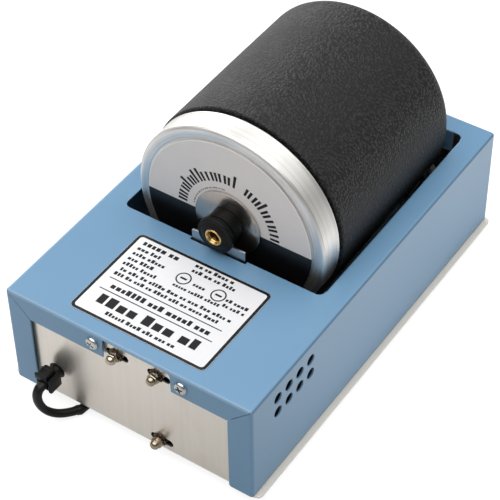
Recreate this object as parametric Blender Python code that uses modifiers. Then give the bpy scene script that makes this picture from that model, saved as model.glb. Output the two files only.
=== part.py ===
"""Rotary rock tumbler: a motor base with two roller shafts that turn a rubber barrel.

Metres, +Z up, +Y towards the rear of the machine. The origin is on the ground, under the
middle of the housing. The barrel's axis runs along Y above the two shafts.
"""

import math

import bmesh
import bpy
from mathutils import Matrix

# Clearance between neighbouring pieces, and the sheet thicknesses
GAP = 0.0003
PAN_SHEET = 0.001
COVER_SHEET = 0.0009
FRAME_SHEET = 0.001

# Heights
FOOT_H = 0.007
FLOOR = FOOT_H + PAN_SHEET

# Housing
COVER_W = 0.146
COVER_L = 0.235
COVER_H = 0.0631
COVER_TOP = FLOOR + COVER_H
SKIRT_CLEARANCE = 0.0008
RETURN_W = 0.014
FLANGE_H = 0.0141
PLATE_Y = 0.1154
LIP_X = 0.076
LIP_REAR_Y = 0.118
WALL_X = 0.0717
WALL_TOP = COVER_TOP - COVER_SHEET - 0.0006

# Opening in the cover's top
OPENING_X = 0.060
OPENING_FRONT = -0.0368
OPENING_REAR = 0.1056
OPENING_R = 0.0035
TAB_LEFT = -0.0165
TAB_RIGHT = 0.0157
TAB_NOTCH_DEPTH = 0.0019

# Barrel, on a horizontal axis along Y
BARREL_R = 0.05715
BARREL_Z = FLOOR + 0.0759
BARREL_FRONT = -0.0122
BARREL_REAR = 0.098
BARREL_ROUND = 0.010
BARREL_WALL = 0.0075
NECK_R = 0.0540
NECK_FRONT = -0.0228
SEAT_R = 0.0462
MOUTH_R = 0.0420
SEAT_Y = -0.0152

# Outer lid, disc label, washer and knob
LID_R = 0.0563
LID_RIM_Y = -0.0142
LID_FACE_Y = -0.0284
LID_SHEET = 0.001
LID_SHOULDER = 0.0035
LABEL_R = 0.0490
HUB_WASHER_R = 0.0194
KNOB_R = 0.0104
KNOB_BODY_R = 0.0093
KNOB_GROOVE_R = 0.0087
KNOB_REAR = -0.0304
KNOB_GROOVE_REAR = -0.0375
KNOB_GROOVE_FRONT = -0.0385
KNOB_FRONT = -0.0413
INSERT_R = 0.0049
INSERT_FRONT = -0.0428
STUD_R = 0.003
STUD_END = -0.0380

# Shafts that carry the barrel
SHAFT_R = 0.00397
SHAFT_X = 0.038
SHAFT_Z = BARREL_Z - math.sqrt((BARREL_R + SHAFT_R + GAP) ** 2 - SHAFT_X**2)
BUSH_NECK_R = 0.0063
BUSH_FLANGE_R = 0.0085
BUSH_FLANGE_T = 0.0028
CLIP_T = 0.0008

# Roller frame
EAR_FRONT = -0.0377
EAR_REAR = 0.1070
FRAME_X = 0.052
EAR_TOP = FLOOR + 0.040
TAB_TOP = FLOOR + 0.0694
KNOB_NOTCH_R = 0.0098

# Motor, drive pulleys and belt
MOTOR_X = 0.017
MOTOR_Z = FLOOR + 0.0292
STUD_PLACES = ((-0.007, FLOOR + 0.053), (0.017, FLOOR + 0.053), (0.0165, FLOOR + 0.0053))
SLOT_PLACES = ((-0.0065, FLOOR + 0.053), (0.0183, FLOOR + 0.053), (0.0176, FLOOR + 0.0053))
SLOT_LENGTH = 0.0135
SLOT_WIDTH = 0.0047
MOTOR_STUD_R = 0.0019
STACK_FRONT = -0.100
STACK_REAR = -0.076
PULLEY_Y = -0.050
PULLEY_HALF = 0.003
BELT_R = 0.0015
DRIVEN_BELT_R = 0.0145
MOTOR_BELT_R = DRIVEN_BELT_R / 2.5
MOTOR_SHAFT_R = 0.0025

# Cord and bushing
CORD_R = 0.0024
CORD_X = -0.047
CORD_Z = FLOOR + 0.017
BUSHING_FACE = -0.1272

# Plug, standing on its edge behind the machine
PLUG_LOW = (0.018, 0.1196, 0.0004)
PLUG_HIGH = (0.050, 0.1336, 0.0250)
BLADE_PITCH = 0.0127

# Fasteners and vents
SCREW_Z = FLOOR + 0.057
FRONT_SCREW_X = (-0.019, 0.0333)
REAR_SCREW_X = (-0.030, 0.030)
SCREW_HEAD_R = 0.0040
SCREW_SHANK_R = 0.0015
VENT_R = 0.00315
VENT_Y = (-0.0666, -0.0762, -0.0857, -0.0953)
VENT_Z = (FLOOR + 0.0525, FLOOR + 0.0428)
FOOT_R = 0.008
FOOT_X = 0.060
FOOT_Y = 0.095

MERGE = 0.00001
FULL_TURN = 2 * math.pi

FINISHES = {
    "blue_paint": ((0.16, 0.33, 0.56), 0.40, 0.0),
    "bare_sheet": ((0.62, 0.58, 0.52), 0.40, 0.9),
    "zinc": ((0.70, 0.69, 0.66), 0.30, 1.0),
    "steel": ((0.60, 0.60, 0.60), 0.25, 1.0),
    "nickel": ((0.78, 0.74, 0.66), 0.15, 1.0),
    "aluminium": ((0.85, 0.85, 0.86), 0.15, 1.0),
    "brass": ((0.72, 0.52, 0.20), 0.30, 1.0),
    "copper": ((0.55, 0.25, 0.10), 0.40, 0.8),
    "rubber": ((0.035, 0.035, 0.038), 0.65, 0.0),
    "black_plastic": ((0.020, 0.020, 0.020), 0.40, 0.0),
    "nylon": ((0.75, 0.72, 0.64), 0.45, 0.0),
    "label_white": ((0.80, 0.80, 0.80), 0.50, 0.0),
}


def clear_scene():
    for old in list(bpy.data.objects):
        bpy.data.objects.remove(old, do_unlink=True)


def new_collection(name):
    made = bpy.data.collections.new(name)
    bpy.context.scene.collection.children.link(made)
    return made


def finish_material(name, finish):
    color, roughness, metallic = FINISHES[finish]
    material = bpy.data.materials.new(name)
    material.use_nodes = True
    shader = material.node_tree.nodes["Principled BSDF"]
    shader.inputs["Base Color"].default_value = (*color, 1.0)
    shader.inputs["Roughness"].default_value = roughness
    shader.inputs["Metallic"].default_value = metallic
    return material


def place(name, mesh, finish, at=(0.0, 0.0, 0.0)):
    """A part of the object, from a mesh, at a point in the world."""
    part = bpy.data.objects.new(name, mesh)
    part.location = at
    mesh.materials.append(finish_material(name, finish))
    PARTS.objects.link(part)
    return part


def as_cutter(obj):
    """Turns an object into a tool for a Boolean."""
    for owner in list(obj.users_collection):
        owner.objects.unlink(obj)
    CUTTERS.objects.link(obj)
    obj.hide_render = True
    obj.display_type = "WIRE"
    return obj


def boolean(part, other, operation):
    step = part.modifiers.new(operation.title(), "BOOLEAN")
    step.operation = operation
    step.solver = "EXACT"
    step.object = as_cutter(other)
    return part


def cut(part, *cutters):
    for cutter in cutters:
        boolean(part, cutter, "DIFFERENCE")
    return part


def join(part, *others):
    for other in others:
        boolean(part, other, "UNION")
    return part


def bevel(part, width, segments=1):
    step = part.modifiers.new("Rounded edges", "BEVEL")
    step.width = width
    step.segments = segments
    step.limit_method = "ANGLE"
    return part


def box(name, low, high, finish="zinc"):
    """A box between two corners, with its origin in its middle."""
    size = [b - a for a, b in zip(low, high)]
    middle = [(a + b) / 2 for a, b in zip(low, high)]
    form = bmesh.new()
    bmesh.ops.create_cube(form, size=1.0, matrix=Matrix.Diagonal((*size, 1.0)))
    mesh = bpy.data.meshes.new(name)
    form.to_mesh(mesh)
    form.free()
    return place(name, mesh, finish, middle)


def rods(name, places, radius, length, direction="Y", segments=16, finish="zinc"):
    """One mesh of equal round bars at the given places, all along one direction."""
    turn = {
        "X": Matrix.Rotation(math.radians(90), 4, "Y"),
        "Y": Matrix.Rotation(math.radians(90), 4, "X"),
        "Z": Matrix.Identity(4),
    }[direction]
    form = bmesh.new()
    for spot in places:
        bmesh.ops.create_cone(
            form,
            cap_ends=True,
            segments=segments,
            radius1=radius,
            radius2=radius,
            depth=length,
            matrix=Matrix.Translation(spot) @ turn,
        )
    mesh = bpy.data.meshes.new(name)
    form.to_mesh(mesh)
    form.free()
    return place(name, mesh, finish)


def turned(name, profile, finish, at=(0.0, 0.0, 0.0), along="Y", steps=24, ring=False):
    """A turned piece: (radius, place along the axis) pairs, down its outer side from the far end."""
    mesh = bpy.data.meshes.new(name)
    count = len(profile)
    edges = [(i, i + 1) for i in range(count - 1)]
    if ring:
        edges.append((count - 1, 0))
    mesh.from_pydata([(radius, 0.0, height) for radius, height in profile], edges, [])
    part = place(name, mesh, finish, at)
    if along == "Y":
        part.rotation_euler = (-math.pi / 2, 0.0, 0.0)
    screw = part.modifiers.new("Turn", "SCREW")
    screw.angle = FULL_TURN
    screw.steps = steps
    screw.render_steps = steps
    screw.use_merge_vertices = True
    screw.merge_threshold = MERGE
    screw.use_smooth_shade = True
    return part


def tube_profile(outer, inner, high, low):
    return [(outer, high), (outer, low), (inner, low), (inner, high)]


def arc(center_r, center_h, radius, start, end, steps):
    """Points of an arc in the (radius, height) plane, with angles in degrees from the radius axis."""
    points = []
    for i in range(steps + 1):
        angle = math.radians(start + (end - start) * i / steps)
        points.append((center_r + radius * math.cos(angle), center_h + radius * math.sin(angle)))
    return points


def wire(name, points, radius, finish, cyclic=False):
    """A round wire through the given points."""
    curve = bpy.data.curves.new(name, "CURVE")
    curve.dimensions = "3D"
    curve.bevel_depth = radius
    curve.bevel_resolution = 2
    curve.use_fill_caps = not cyclic
    line = curve.splines.new("POLY")
    line.points.add(len(points) - 1)
    for spot, (x, y, z) in zip(line.points, points):
        spot.co = (x, y, z, 1.0)
    line.use_cyclic_u = cyclic
    part = bpy.data.objects.new(name, curve)
    curve.materials.append(finish_material(name, finish))
    PARTS.objects.link(part)
    return part


def smooth_path(knots, per_span):
    """Points on a Catmull-Rom curve through the knots."""
    padded = [knots[0], *knots, knots[-1]]
    points = []
    for a, b, c, d in zip(padded, padded[1:], padded[2:], padded[3:]):
        for i in range(per_span):
            t = i / per_span
            points.append(
                tuple(
                    0.5
                    * (
                        2 * q
                        + (r - p) * t
                        + (2 * p - 5 * q + 4 * r - s) * t * t
                        + (3 * q - p - 3 * r + s) * t**3
                    )
                    for p, q, r, s in zip(a, b, c, d)
                )
            )
    points.append(knots[-1])
    return points


def make_base_pan():
    """The folded pan: a floor whose sides show under the cover as a lip, and two end plates."""
    pan = box("base_pan", (-LIP_X, -PLATE_Y, FOOT_H), (LIP_X, LIP_REAR_Y, FLOOR), "bare_sheet")
    half_sheet = PAN_SHEET / 2
    join(
        pan,
        box("front_plate", (-WALL_X, -PLATE_Y, FOOT_H), (WALL_X, PAN_SHEET - PLATE_Y, WALL_TOP)),
        box("rear_plate", (-WALL_X, PLATE_Y - PAN_SHEET, FLOOR - half_sheet), (WALL_X, PLATE_Y, WALL_TOP)),
    )
    bar = SLOT_WIDTH / 2
    reach = 4 * PAN_SHEET
    for number, (x, z) in enumerate(SLOT_PLACES, 1):
        straight = SLOT_LENGTH / 2 - bar
        slot = box(
            f"slot_{number}",
            (x - straight - bar, -PLATE_Y - reach, z - bar),
            (x + straight + bar, -PLATE_Y + reach, z + bar),
        )
        rounding = slot.modifiers.new("Round ends", "BEVEL")
        rounding.width = bar * 0.9
        rounding.segments = 2
        cut(pan, slot)
    holes = [(x, -PLATE_Y, SCREW_Z) for x in FRONT_SCREW_X] + [(x, PLATE_Y, SCREW_Z) for x in REAR_SCREW_X]
    foot_holes = [(sx * FOOT_X, sy * FOOT_Y, FLOOR) for sx in (-1, 1) for sy in (-1, 1)]
    cut(
        pan,
        rods("screw_holes", holes, SCREW_SHANK_R + 0.0004, 2 * reach, segments=10),
        rods("foot_holes", foot_holes, 0.0031, 2 * reach, "Z", segments=12),
        rods("cord_hole", [(CORD_X, -PLATE_Y, CORD_Z)], 0.0067, 2 * reach, segments=16),
    )


def make_cover():
    """The painted housing: top, two sides, and folded returns round both ends."""
    form = bmesh.new()
    bmesh.ops.create_cube(form, size=1.0, matrix=Matrix.Diagonal((COVER_W, COVER_L, COVER_H, 1.0)))
    bottom = [face for face in form.faces if face.normal.z < -0.5]
    bmesh.ops.delete(form, geom=bottom, context="FACES")
    mesh = bpy.data.meshes.new("cover")
    form.to_mesh(mesh)
    form.free()
    cover = place("cover", mesh, "blue_paint", (0.0, 0.0, FLOOR + COVER_H / 2))
    sheet = cover.modifiers.new("Sheet", "SOLIDIFY")
    sheet.thickness = COVER_SHEET
    sheet.offset = -1.0
    sheet.use_even_offset = True

    half_w = COVER_W / 2
    half_l = COVER_L / 2
    beyond = 0.01
    end_window_x = half_w - RETURN_W
    end_window = box(
        "end_windows",
        (-end_window_x, -half_l - beyond, FLOOR - beyond),
        (end_window_x, half_l + beyond, COVER_TOP - FLANGE_H),
    )
    opening = box(
        "opening",
        (-OPENING_X, OPENING_FRONT, COVER_TOP - beyond),
        (OPENING_X, OPENING_REAR, COVER_TOP + beyond),
    )
    bevel(opening, OPENING_R, 3)
    tab_notch = box(
        "tab_notch",
        (TAB_LEFT - 2 * GAP, OPENING_FRONT - TAB_NOTCH_DEPTH, COVER_TOP - beyond),
        (TAB_RIGHT + 2 * GAP, OPENING_FRONT + beyond, COVER_TOP + beyond),
    )
    nut_notch = box(
        "nut_notch",
        (-0.0135, -half_l - beyond, COVER_TOP - 2 * FLANGE_H),
        (0.0264, -half_l + 2 * COVER_SHEET, COVER_TOP - 0.0020),
    )
    side_clearance = [
        box(
            f"side_clearance_{side}",
            (side * half_w - beyond, COVER_SHEET - half_l, FLOOR - beyond),
            (side * half_w + beyond, half_l - COVER_SHEET, FLOOR + SKIRT_CLEARANCE),
        )
        for side in (-1, 1)
    ]
    vents = [(0.0, y, z) for y in VENT_Y for z in VENT_Z]
    holes = [(x, -half_l, SCREW_Z) for x in FRONT_SCREW_X] + [(x, half_l, SCREW_Z) for x in REAR_SCREW_X]
    cut(
        cover,
        end_window,
        opening,
        tab_notch,
        nut_notch,
        *side_clearance,
        rods("vents", vents, VENT_R, COVER_W + 2 * beyond, "X", segments=12),
        rods("flange_holes", holes, SCREW_SHANK_R + 0.0004, 0.006, segments=10),
    )


def make_cover_screws():
    """Pan-head screws through the cover's end flanges into the pan."""
    under_head = COVER_L / 2 + GAP
    head = 0.0021
    tip = COVER_L / 2 - 0.0075
    places = [(x, -1) for x in FRONT_SCREW_X] + [(x, 1) for x in REAR_SCREW_X]
    for number, (x, side) in enumerate(places, 1):
        profile = [
            (0.0, -tip),
            (SCREW_SHANK_R, -tip),
            (SCREW_SHANK_R, -under_head),
            (SCREW_HEAD_R, -under_head),
            (SCREW_HEAD_R, -under_head - 0.45 * head),
            (0.75 * SCREW_HEAD_R, -under_head - 0.85 * head),
            (0.0, -under_head - head),
        ]
        screw = turned(f"cover_screw_{number}", profile, "nickel", (x, 0.0, SCREW_Z), steps=16)
        if side > 0:
            screw.rotation_euler = (math.pi / 2, 0.0, 0.0)


def make_feet():
    """Push-in rubber feet."""
    profile = [
        (0.0, FLOOR + 0.0030),
        (0.0024, FLOOR + 0.0030),
        (0.0042, FLOOR + GAP),
        (0.0027, FLOOR + GAP),
        (0.0027, FOOT_H - GAP),
        (FOOT_R, FOOT_H - GAP),
        (FOOT_R - 0.0006, 0.0),
        (0.0, 0.0),
    ]
    corners = [(sx, sy) for sx in (-1, 1) for sy in (-1, 1)]
    for number, (sx, sy) in enumerate(corners, 1):
        turned(f"foot_{number}", profile, "rubber", (sx * FOOT_X, sy * FOOT_Y, 0.0), "Z", steps=14)


def make_cord():
    """Strain-relief bushing, cord, and the plug at its end."""
    bore = CORD_R + 0.0004
    plate_in = -PLATE_Y + PAN_SHEET
    bushing = [
        (0.0060, plate_in + 0.0065),
        (0.0072, plate_in + GAP),
        (0.0062, plate_in + GAP),
        (0.0062, -PLATE_Y - GAP),
        (0.0078, -PLATE_Y - GAP),
        (0.0078, -PLATE_Y - 0.0022),
        (0.0068, -PLATE_Y - 0.0030),
        (0.0068, BUSHING_FACE + 0.0008),
        (0.0060, BUSHING_FACE),
        (bore, BUSHING_FACE),
        (bore, plate_in + 0.0065),
    ]
    turned("strain_relief", bushing, "black_plastic", (CORD_X, 0.0, CORD_Z), steps=16, ring=True)

    ground_z = CORD_R + 0.0004
    plug_y = (PLUG_LOW[1] + PLUG_HIGH[1]) / 2
    plug_z = (PLUG_LOW[2] + PLUG_HIGH[2]) / 2
    plug_mouth = PLUG_LOW[0]
    knots = [
        (CORD_X, -0.1060, CORD_Z),
        (CORD_X, -0.1180, CORD_Z),
        (CORD_X, -0.1268, CORD_Z),
        (-0.0476, -0.1297, 0.0235),
        (-0.0480, -0.1311, 0.0195),
        (-0.0473, -0.1309, 0.0140),
        (-0.0452, -0.1290, 0.0086),
        (-0.0414, -0.1255, 0.0052),
        (-0.0376, -0.1205, 0.0035),
        (-0.0352, -0.1155, ground_z),
        (-0.0330, -0.1050, ground_z),
        (-0.0250, 0.0, ground_z),
        (-0.0140, 0.1000, ground_z),
        (-0.0060, 0.1180, ground_z),
        (0.0030, 0.1250, ground_z + 0.0035),
        (plug_mouth - 0.0060, plug_y, plug_z - 0.0004),
        (plug_mouth - 0.0015, plug_y, plug_z),
        (plug_mouth + 0.0045, plug_y, plug_z),
    ]
    wire("power_cord", smooth_path(knots, 2), CORD_R, "black_plastic")

    plug = box("plug_body", PLUG_LOW, PLUG_HIGH, "black_plastic")
    bevel(plug, 0.0025, 2)
    mouth = rods("plug_mouth", [(plug_mouth, plug_y, plug_z)], bore, 0.012, "X", segments=12)
    cut(plug, mouth)
    for number, side in enumerate((-1, 1), 1):
        z = plug_z + side * BLADE_PITCH / 2
        front = PLUG_HIGH[0]
        low = (front - 0.005, plug_y - 0.0032, z - 0.00075)
        high = (front + 0.017, plug_y + 0.0032, z + 0.00075)
        box(f"plug_blade_{number}", low, high, "brass")
        slot_low = [value - GAP for value in low]
        slot_high = [value + GAP for value in high]
        cut(plug, box(f"blade_slot_{number}", slot_low, slot_high))


def make_roller_frame():
    """The folded frame that holds both shafts, with the stop tab in front of the barrel."""
    floor = FLOOR + GAP
    floor_top = floor + FRAME_SHEET
    frame = box("roller_frame", (-FRAME_X, EAR_FRONT, floor), (FRAME_X, EAR_REAR + FRAME_SHEET, floor_top))
    ear_in = EAR_FRONT + FRAME_SHEET
    join(
        frame,
        box("front_ear", (-FRAME_X, EAR_FRONT, floor), (FRAME_X, ear_in, EAR_TOP)),
        box("stop_tab", (TAB_LEFT, EAR_FRONT, floor_top), (TAB_RIGHT, ear_in, TAB_TOP)),
        box("rear_ear", (-FRAME_X, EAR_REAR, floor), (FRAME_X, EAR_REAR + FRAME_SHEET, EAR_TOP)),
    )
    middle = (EAR_FRONT + EAR_REAR) / 2
    bush_holes = [(side * SHAFT_X, middle, SHAFT_Z) for side in (-1, 1)]
    cut(
        frame,
        rods("bush_holes", bush_holes, BUSH_NECK_R + 0.0004, 0.2, segments=14),
        rods("knob_notch", [(0.0, EAR_FRONT, BARREL_Z)], KNOB_NOTCH_R, 0.01, segments=24),
    )


def make_shafts():
    """Two round shafts in snap-in bushings, with a retaining clip at each end."""
    bore = SHAFT_R + 0.0003
    number = 0
    for side in (-1, 1):
        for ear in (EAR_FRONT, EAR_REAR):
            number += 1
            front = ear - GAP
            rear = ear + FRAME_SHEET + GAP
            profile = [
                (BUSH_FLANGE_R - 0.001, rear + BUSH_FLANGE_T),
                (BUSH_FLANGE_R, rear),
                (BUSH_NECK_R, rear),
                (BUSH_NECK_R, front),
                (BUSH_FLANGE_R, front),
                (BUSH_FLANGE_R - 0.001, front - BUSH_FLANGE_T),
                (bore, front - BUSH_FLANGE_T),
                (bore, rear + BUSH_FLANGE_T),
            ]
            place_at = (side * SHAFT_X, 0.0, SHAFT_Z)
            turned(f"shaft_bushing_{number}", profile, "nylon", place_at, steps=14, ring=True)

    ends = {"drive": (-1, -0.0565), "idler": (1, -0.0450)}
    clip_front = EAR_FRONT - BUSH_FLANGE_T - 2 * GAP
    clip_rear = EAR_REAR + FRAME_SHEET + BUSH_FLANGE_T + 2 * GAP + CLIP_T
    shaft_rear = 0.1134
    for label, (side, front) in ends.items():
        place_at = (side * SHAFT_X, 0.0, SHAFT_Z)
        chamfer = 0.0006
        profile = [
            (0.0, shaft_rear),
            (SHAFT_R - chamfer, shaft_rear),
            (SHAFT_R, shaft_rear - chamfer),
            (SHAFT_R, front + chamfer),
            (SHAFT_R - chamfer, front),
            (0.0, front),
        ]
        turned(f"{label}_shaft", profile, "steel", place_at, steps=20)
        clips = {"front": clip_front, "rear": clip_rear}
        for end, high in clips.items():
            ring = tube_profile(SHAFT_R + 0.0024, SHAFT_R + GAP, high, high - CLIP_T)
            turned(f"{label}_clip_{end}", ring, "steel", place_at, steps=12, ring=True)


def pulley_profile(belt_r, bore):
    """A grooved pulley: the belt's centre runs at belt_r."""
    high = PULLEY_Y + PULLEY_HALF
    low = PULLEY_Y - PULLEY_HALF
    rim = belt_r + 0.0015
    bottom = belt_r - BELT_R - 0.0004
    half_groove = BELT_R + 0.0003
    return [
        (rim, high),
        (rim, PULLEY_Y + half_groove + 0.0005),
        (bottom, PULLEY_Y + half_groove),
        (bottom, PULLEY_Y - half_groove),
        (rim, PULLEY_Y - half_groove - 0.0005),
        (rim, low),
        (bore, low),
        (bore, high),
    ]


def make_drive():
    """Driven pulley on the drive shaft, motor pulley, and the belt round both."""
    drive_at = (-SHAFT_X, 0.0, SHAFT_Z)
    motor_at = (MOTOR_X, 0.0, MOTOR_Z)
    driven = pulley_profile(DRIVEN_BELT_R, SHAFT_R + GAP)
    turned("driven_pulley", driven, "black_plastic", drive_at, steps=24, ring=True)
    motor = pulley_profile(MOTOR_BELT_R, MOTOR_SHAFT_R + GAP)
    turned("motor_pulley", motor, "aluminium", motor_at, steps=16, ring=True)

    dx = MOTOR_X + SHAFT_X
    dz = MOTOR_Z - SHAFT_Z
    distance = math.hypot(dx, dz)
    tilt = math.atan2(dz, dx)
    spread = math.acos((DRIVEN_BELT_R - MOTOR_BELT_R) / distance)
    points = []
    for center_x, center_z, radius, start, end, steps in (
        (-SHAFT_X, SHAFT_Z, DRIVEN_BELT_R, tilt + spread, tilt + FULL_TURN - spread, 14),
        (MOTOR_X, MOTOR_Z, MOTOR_BELT_R, tilt - spread, tilt + spread, 8),
    ):
        for i in range(steps + 1):
            angle = start + (end - start) * i / steps
            points.append((center_x + radius * math.cos(angle), PULLEY_Y, center_z + radius * math.sin(angle)))
    wire("drive_belt", points, BELT_R, "rubber", cyclic=True)


def make_motor():
    """Shaded-pole motor hung from the front plate on three studs."""
    left, right, low, high = -0.030, 0.034, FLOOR + 0.001, FLOOR + 0.058
    window_left, window_right = -0.020, -0.003
    arm = 0.0125
    stack = box("stator_stack", (left, STACK_FRONT, low), (right, STACK_REAR, high), "zinc")
    window = box(
        "stator_window",
        (window_left, STACK_FRONT - 0.01, low + arm),
        (window_right, STACK_REAR + 0.01, high - arm),
    )
    stud_points = [(x, (STACK_FRONT + STACK_REAR) / 2, z) for x, z in STUD_PLACES]
    stud_hole = MOTOR_STUD_R + 0.0004
    rotor_r = 0.0130
    center = (MOTOR_X, (STACK_FRONT + STACK_REAR) / 2, MOTOR_Z)
    cut(
        stack,
        window,
        rods("stator_bore", [center], rotor_r + 0.0008, 0.04, segments=20),
        rods("stator_stud_holes", stud_points, stud_hole, 0.04, segments=10),
    )

    coil = box("field_coil", (-0.038, -0.107, low + arm + GAP), (-0.009, -0.069, high - arm - GAP), "copper")
    bevel(coil, 0.002, 2)
    leg = box(
        "coil_core",
        (left - GAP, STACK_FRONT - GAP, low),
        (window_left + GAP, STACK_REAR + GAP, high),
    )
    cut(coil, leg)

    half = 0.008
    strap = 0.002
    foot_reach = 0.006
    foot_high = 0.009
    for end, inner, outward in (("front", STACK_FRONT, -1), ("rear", STACK_REAR, 1)):
        contact = inner + outward * GAP
        outer = inner + outward * foot_reach
        face = outer - outward * strap
        span = sorted((outer, face))
        reach = sorted((contact, outer))
        bracket = box(
            f"{end}_bracket",
            (MOTOR_X - half, span[0], low),
            (MOTOR_X + half, span[1], high),
        )
        hub_at = [(MOTOR_X, face, MOTOR_Z)]
        join(
            bracket,
            box("bracket_foot", (MOTOR_X - half, reach[0], low), (MOTOR_X + half, reach[1], low + foot_high)),
            box("bracket_head", (MOTOR_X - half, reach[0], high - foot_high), (MOTOR_X + half, reach[1], high)),
            rods("bracket_hub", hub_at, 0.0055, 0.0065, segments=12),
        )
        cut(
            bracket,
            rods("bearing_bore", hub_at, MOTOR_SHAFT_R + GAP, 0.03, segments=12),
            rods("bracket_stud_holes", stud_points, stud_hole, 0.08, segments=10),
        )

    axis = (MOTOR_X, 0.0, MOTOR_Z)
    shaft = [(0.0, -0.0440), (MOTOR_SHAFT_R, -0.0440), (MOTOR_SHAFT_R, -0.1110), (0.0, -0.1110)]
    turned("motor_shaft", shaft, "steel", axis, steps=16)
    core = tube_profile(rotor_r, MOTOR_SHAFT_R + GAP, STACK_REAR + GAP, STACK_FRONT - GAP)
    turned("rotor", core, "zinc", axis, steps=20, ring=True)

    fan_rear, fan_front = -0.0575, -0.0655
    hub = tube_profile(0.0050, MOTOR_SHAFT_R + GAP, fan_rear, fan_front)
    fan = turned("cooling_fan", hub, "black_plastic", axis, steps=12, ring=True)
    blade_count = 5
    for number in range(blade_count):
        form = bmesh.new()
        size = Matrix.Diagonal((0.0148, 0.0010, 0.0070, 1.0))
        out = Matrix.Translation((0.0044 + 0.0074, 0.0, 0.0))
        pitch = Matrix.Rotation(math.radians(35), 4, "X")
        around = Matrix.Rotation(FULL_TURN * number / blade_count, 4, "Y")
        upright = Matrix.Rotation(-math.pi / 2, 4, "X")
        bmesh.ops.create_cube(form, size=1.0, matrix=around @ upright @ out @ pitch @ size)
        mesh = bpy.data.meshes.new("fan_blade")
        form.to_mesh(mesh)
        form.free()
        blade_at = (MOTOR_X, (fan_rear + fan_front) / 2, MOTOR_Z)
        join(fan, place("fan_blade", mesh, "black_plastic", blade_at))


def make_motor_fasteners():
    """Studs, spacers behind the plate, and toothed washers under acorn nuts in front of it."""
    washer_rear = -PLATE_Y - GAP
    washer_front = washer_rear - 0.0008
    nut_rear = washer_front - GAP
    nut_flat = nut_rear - 0.0022
    dome_r = 0.0031
    for number, (x, z) in enumerate(STUD_PLACES, 1):
        at = (x, 0.0, z)
        stud_front = nut_flat - 0.0008
        stud_rear = STACK_REAR + 0.0085
        stud = [(0.0, stud_rear), (MOTOR_STUD_R, stud_rear), (MOTOR_STUD_R, stud_front), (0.0, stud_front)]
        turned(f"motor_stud_{number}", stud, "zinc", at, steps=12)
        behind = STACK_FRONT - GAP if number == 1 else STACK_FRONT - 0.006 - GAP
        spacer = tube_profile(0.0036, MOTOR_STUD_R + 0.0004, behind, -PLATE_Y + PAN_SHEET + GAP)
        turned(f"motor_spacer_{number}", spacer, "zinc", at, steps=12, ring=True)
        ring = tube_profile(0.0046, MOTOR_STUD_R + 0.0004, washer_rear, washer_front)
        turned(f"toothed_washer_{number}", ring, "zinc", at, steps=16, ring=True)
        bore = MOTOR_STUD_R + GAP
        nut = [
            (0.0038, nut_rear),
            (0.0038, nut_flat),
            *arc(0.0, nut_flat, dome_r, 0, -90, 4),
            (0.0, stud_front - GAP),
            (bore, stud_front - GAP),
            (bore, nut_rear),
        ]
        turned(f"acorn_nut_{number}", nut, "nickel", at, steps=12, ring=True)


def make_barrel():
    """The moulded rubber barrel, its seal and the inner lid with its stud."""
    axis = (0.0, 0.0, BARREL_Z)
    inner_r = BARREL_R - BARREL_WALL
    floor_y = BARREL_REAR - BARREL_WALL
    corner = BARREL_ROUND - 0.003
    shell = [
        (0.0, BARREL_REAR),
        *reversed(arc(BARREL_R - BARREL_ROUND, BARREL_REAR - BARREL_ROUND, BARREL_ROUND, 0, 90, 3)),
        (BARREL_R, BARREL_FRONT),
        (NECK_R, BARREL_FRONT),
        (NECK_R, NECK_FRONT),
        (SEAT_R, NECK_FRONT),
        (SEAT_R, SEAT_Y),
        (MOUTH_R, SEAT_Y),
        (MOUTH_R, SEAT_Y + 0.003),
        (inner_r, SEAT_Y + 0.0105),
        *arc(inner_r - corner, floor_y - corner, corner, 0, 90, 2),
        (0.0, floor_y),
    ]
    turned("tumbling_barrel", shell, "rubber", axis, steps=32)

    seal_front = SEAT_Y - GAP - 0.0008
    seal = tube_profile(SEAT_R - GAP, MOUTH_R, SEAT_Y - GAP, seal_front)
    turned("barrel_seal", seal, "rubber", axis, steps=24, ring=True)

    plate_rear = seal_front - GAP
    plate_front = plate_rear - 0.0015
    bore = STUD_R + 0.0003
    inner = tube_profile(SEAT_R - 0.0005, bore, plate_rear, plate_front)
    turned("inner_lid", inner, "aluminium", axis, steps=24, ring=True)
    head = plate_rear + GAP
    stud = [
        (0.0, head + 0.0025),
        (0.0060, head + 0.0025),
        (0.0060, head),
        (STUD_R, head),
        (STUD_R, STUD_END),
        (0.0, STUD_END),
    ]
    turned("lid_stud", stud, "zinc", axis, steps=16)


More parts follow.
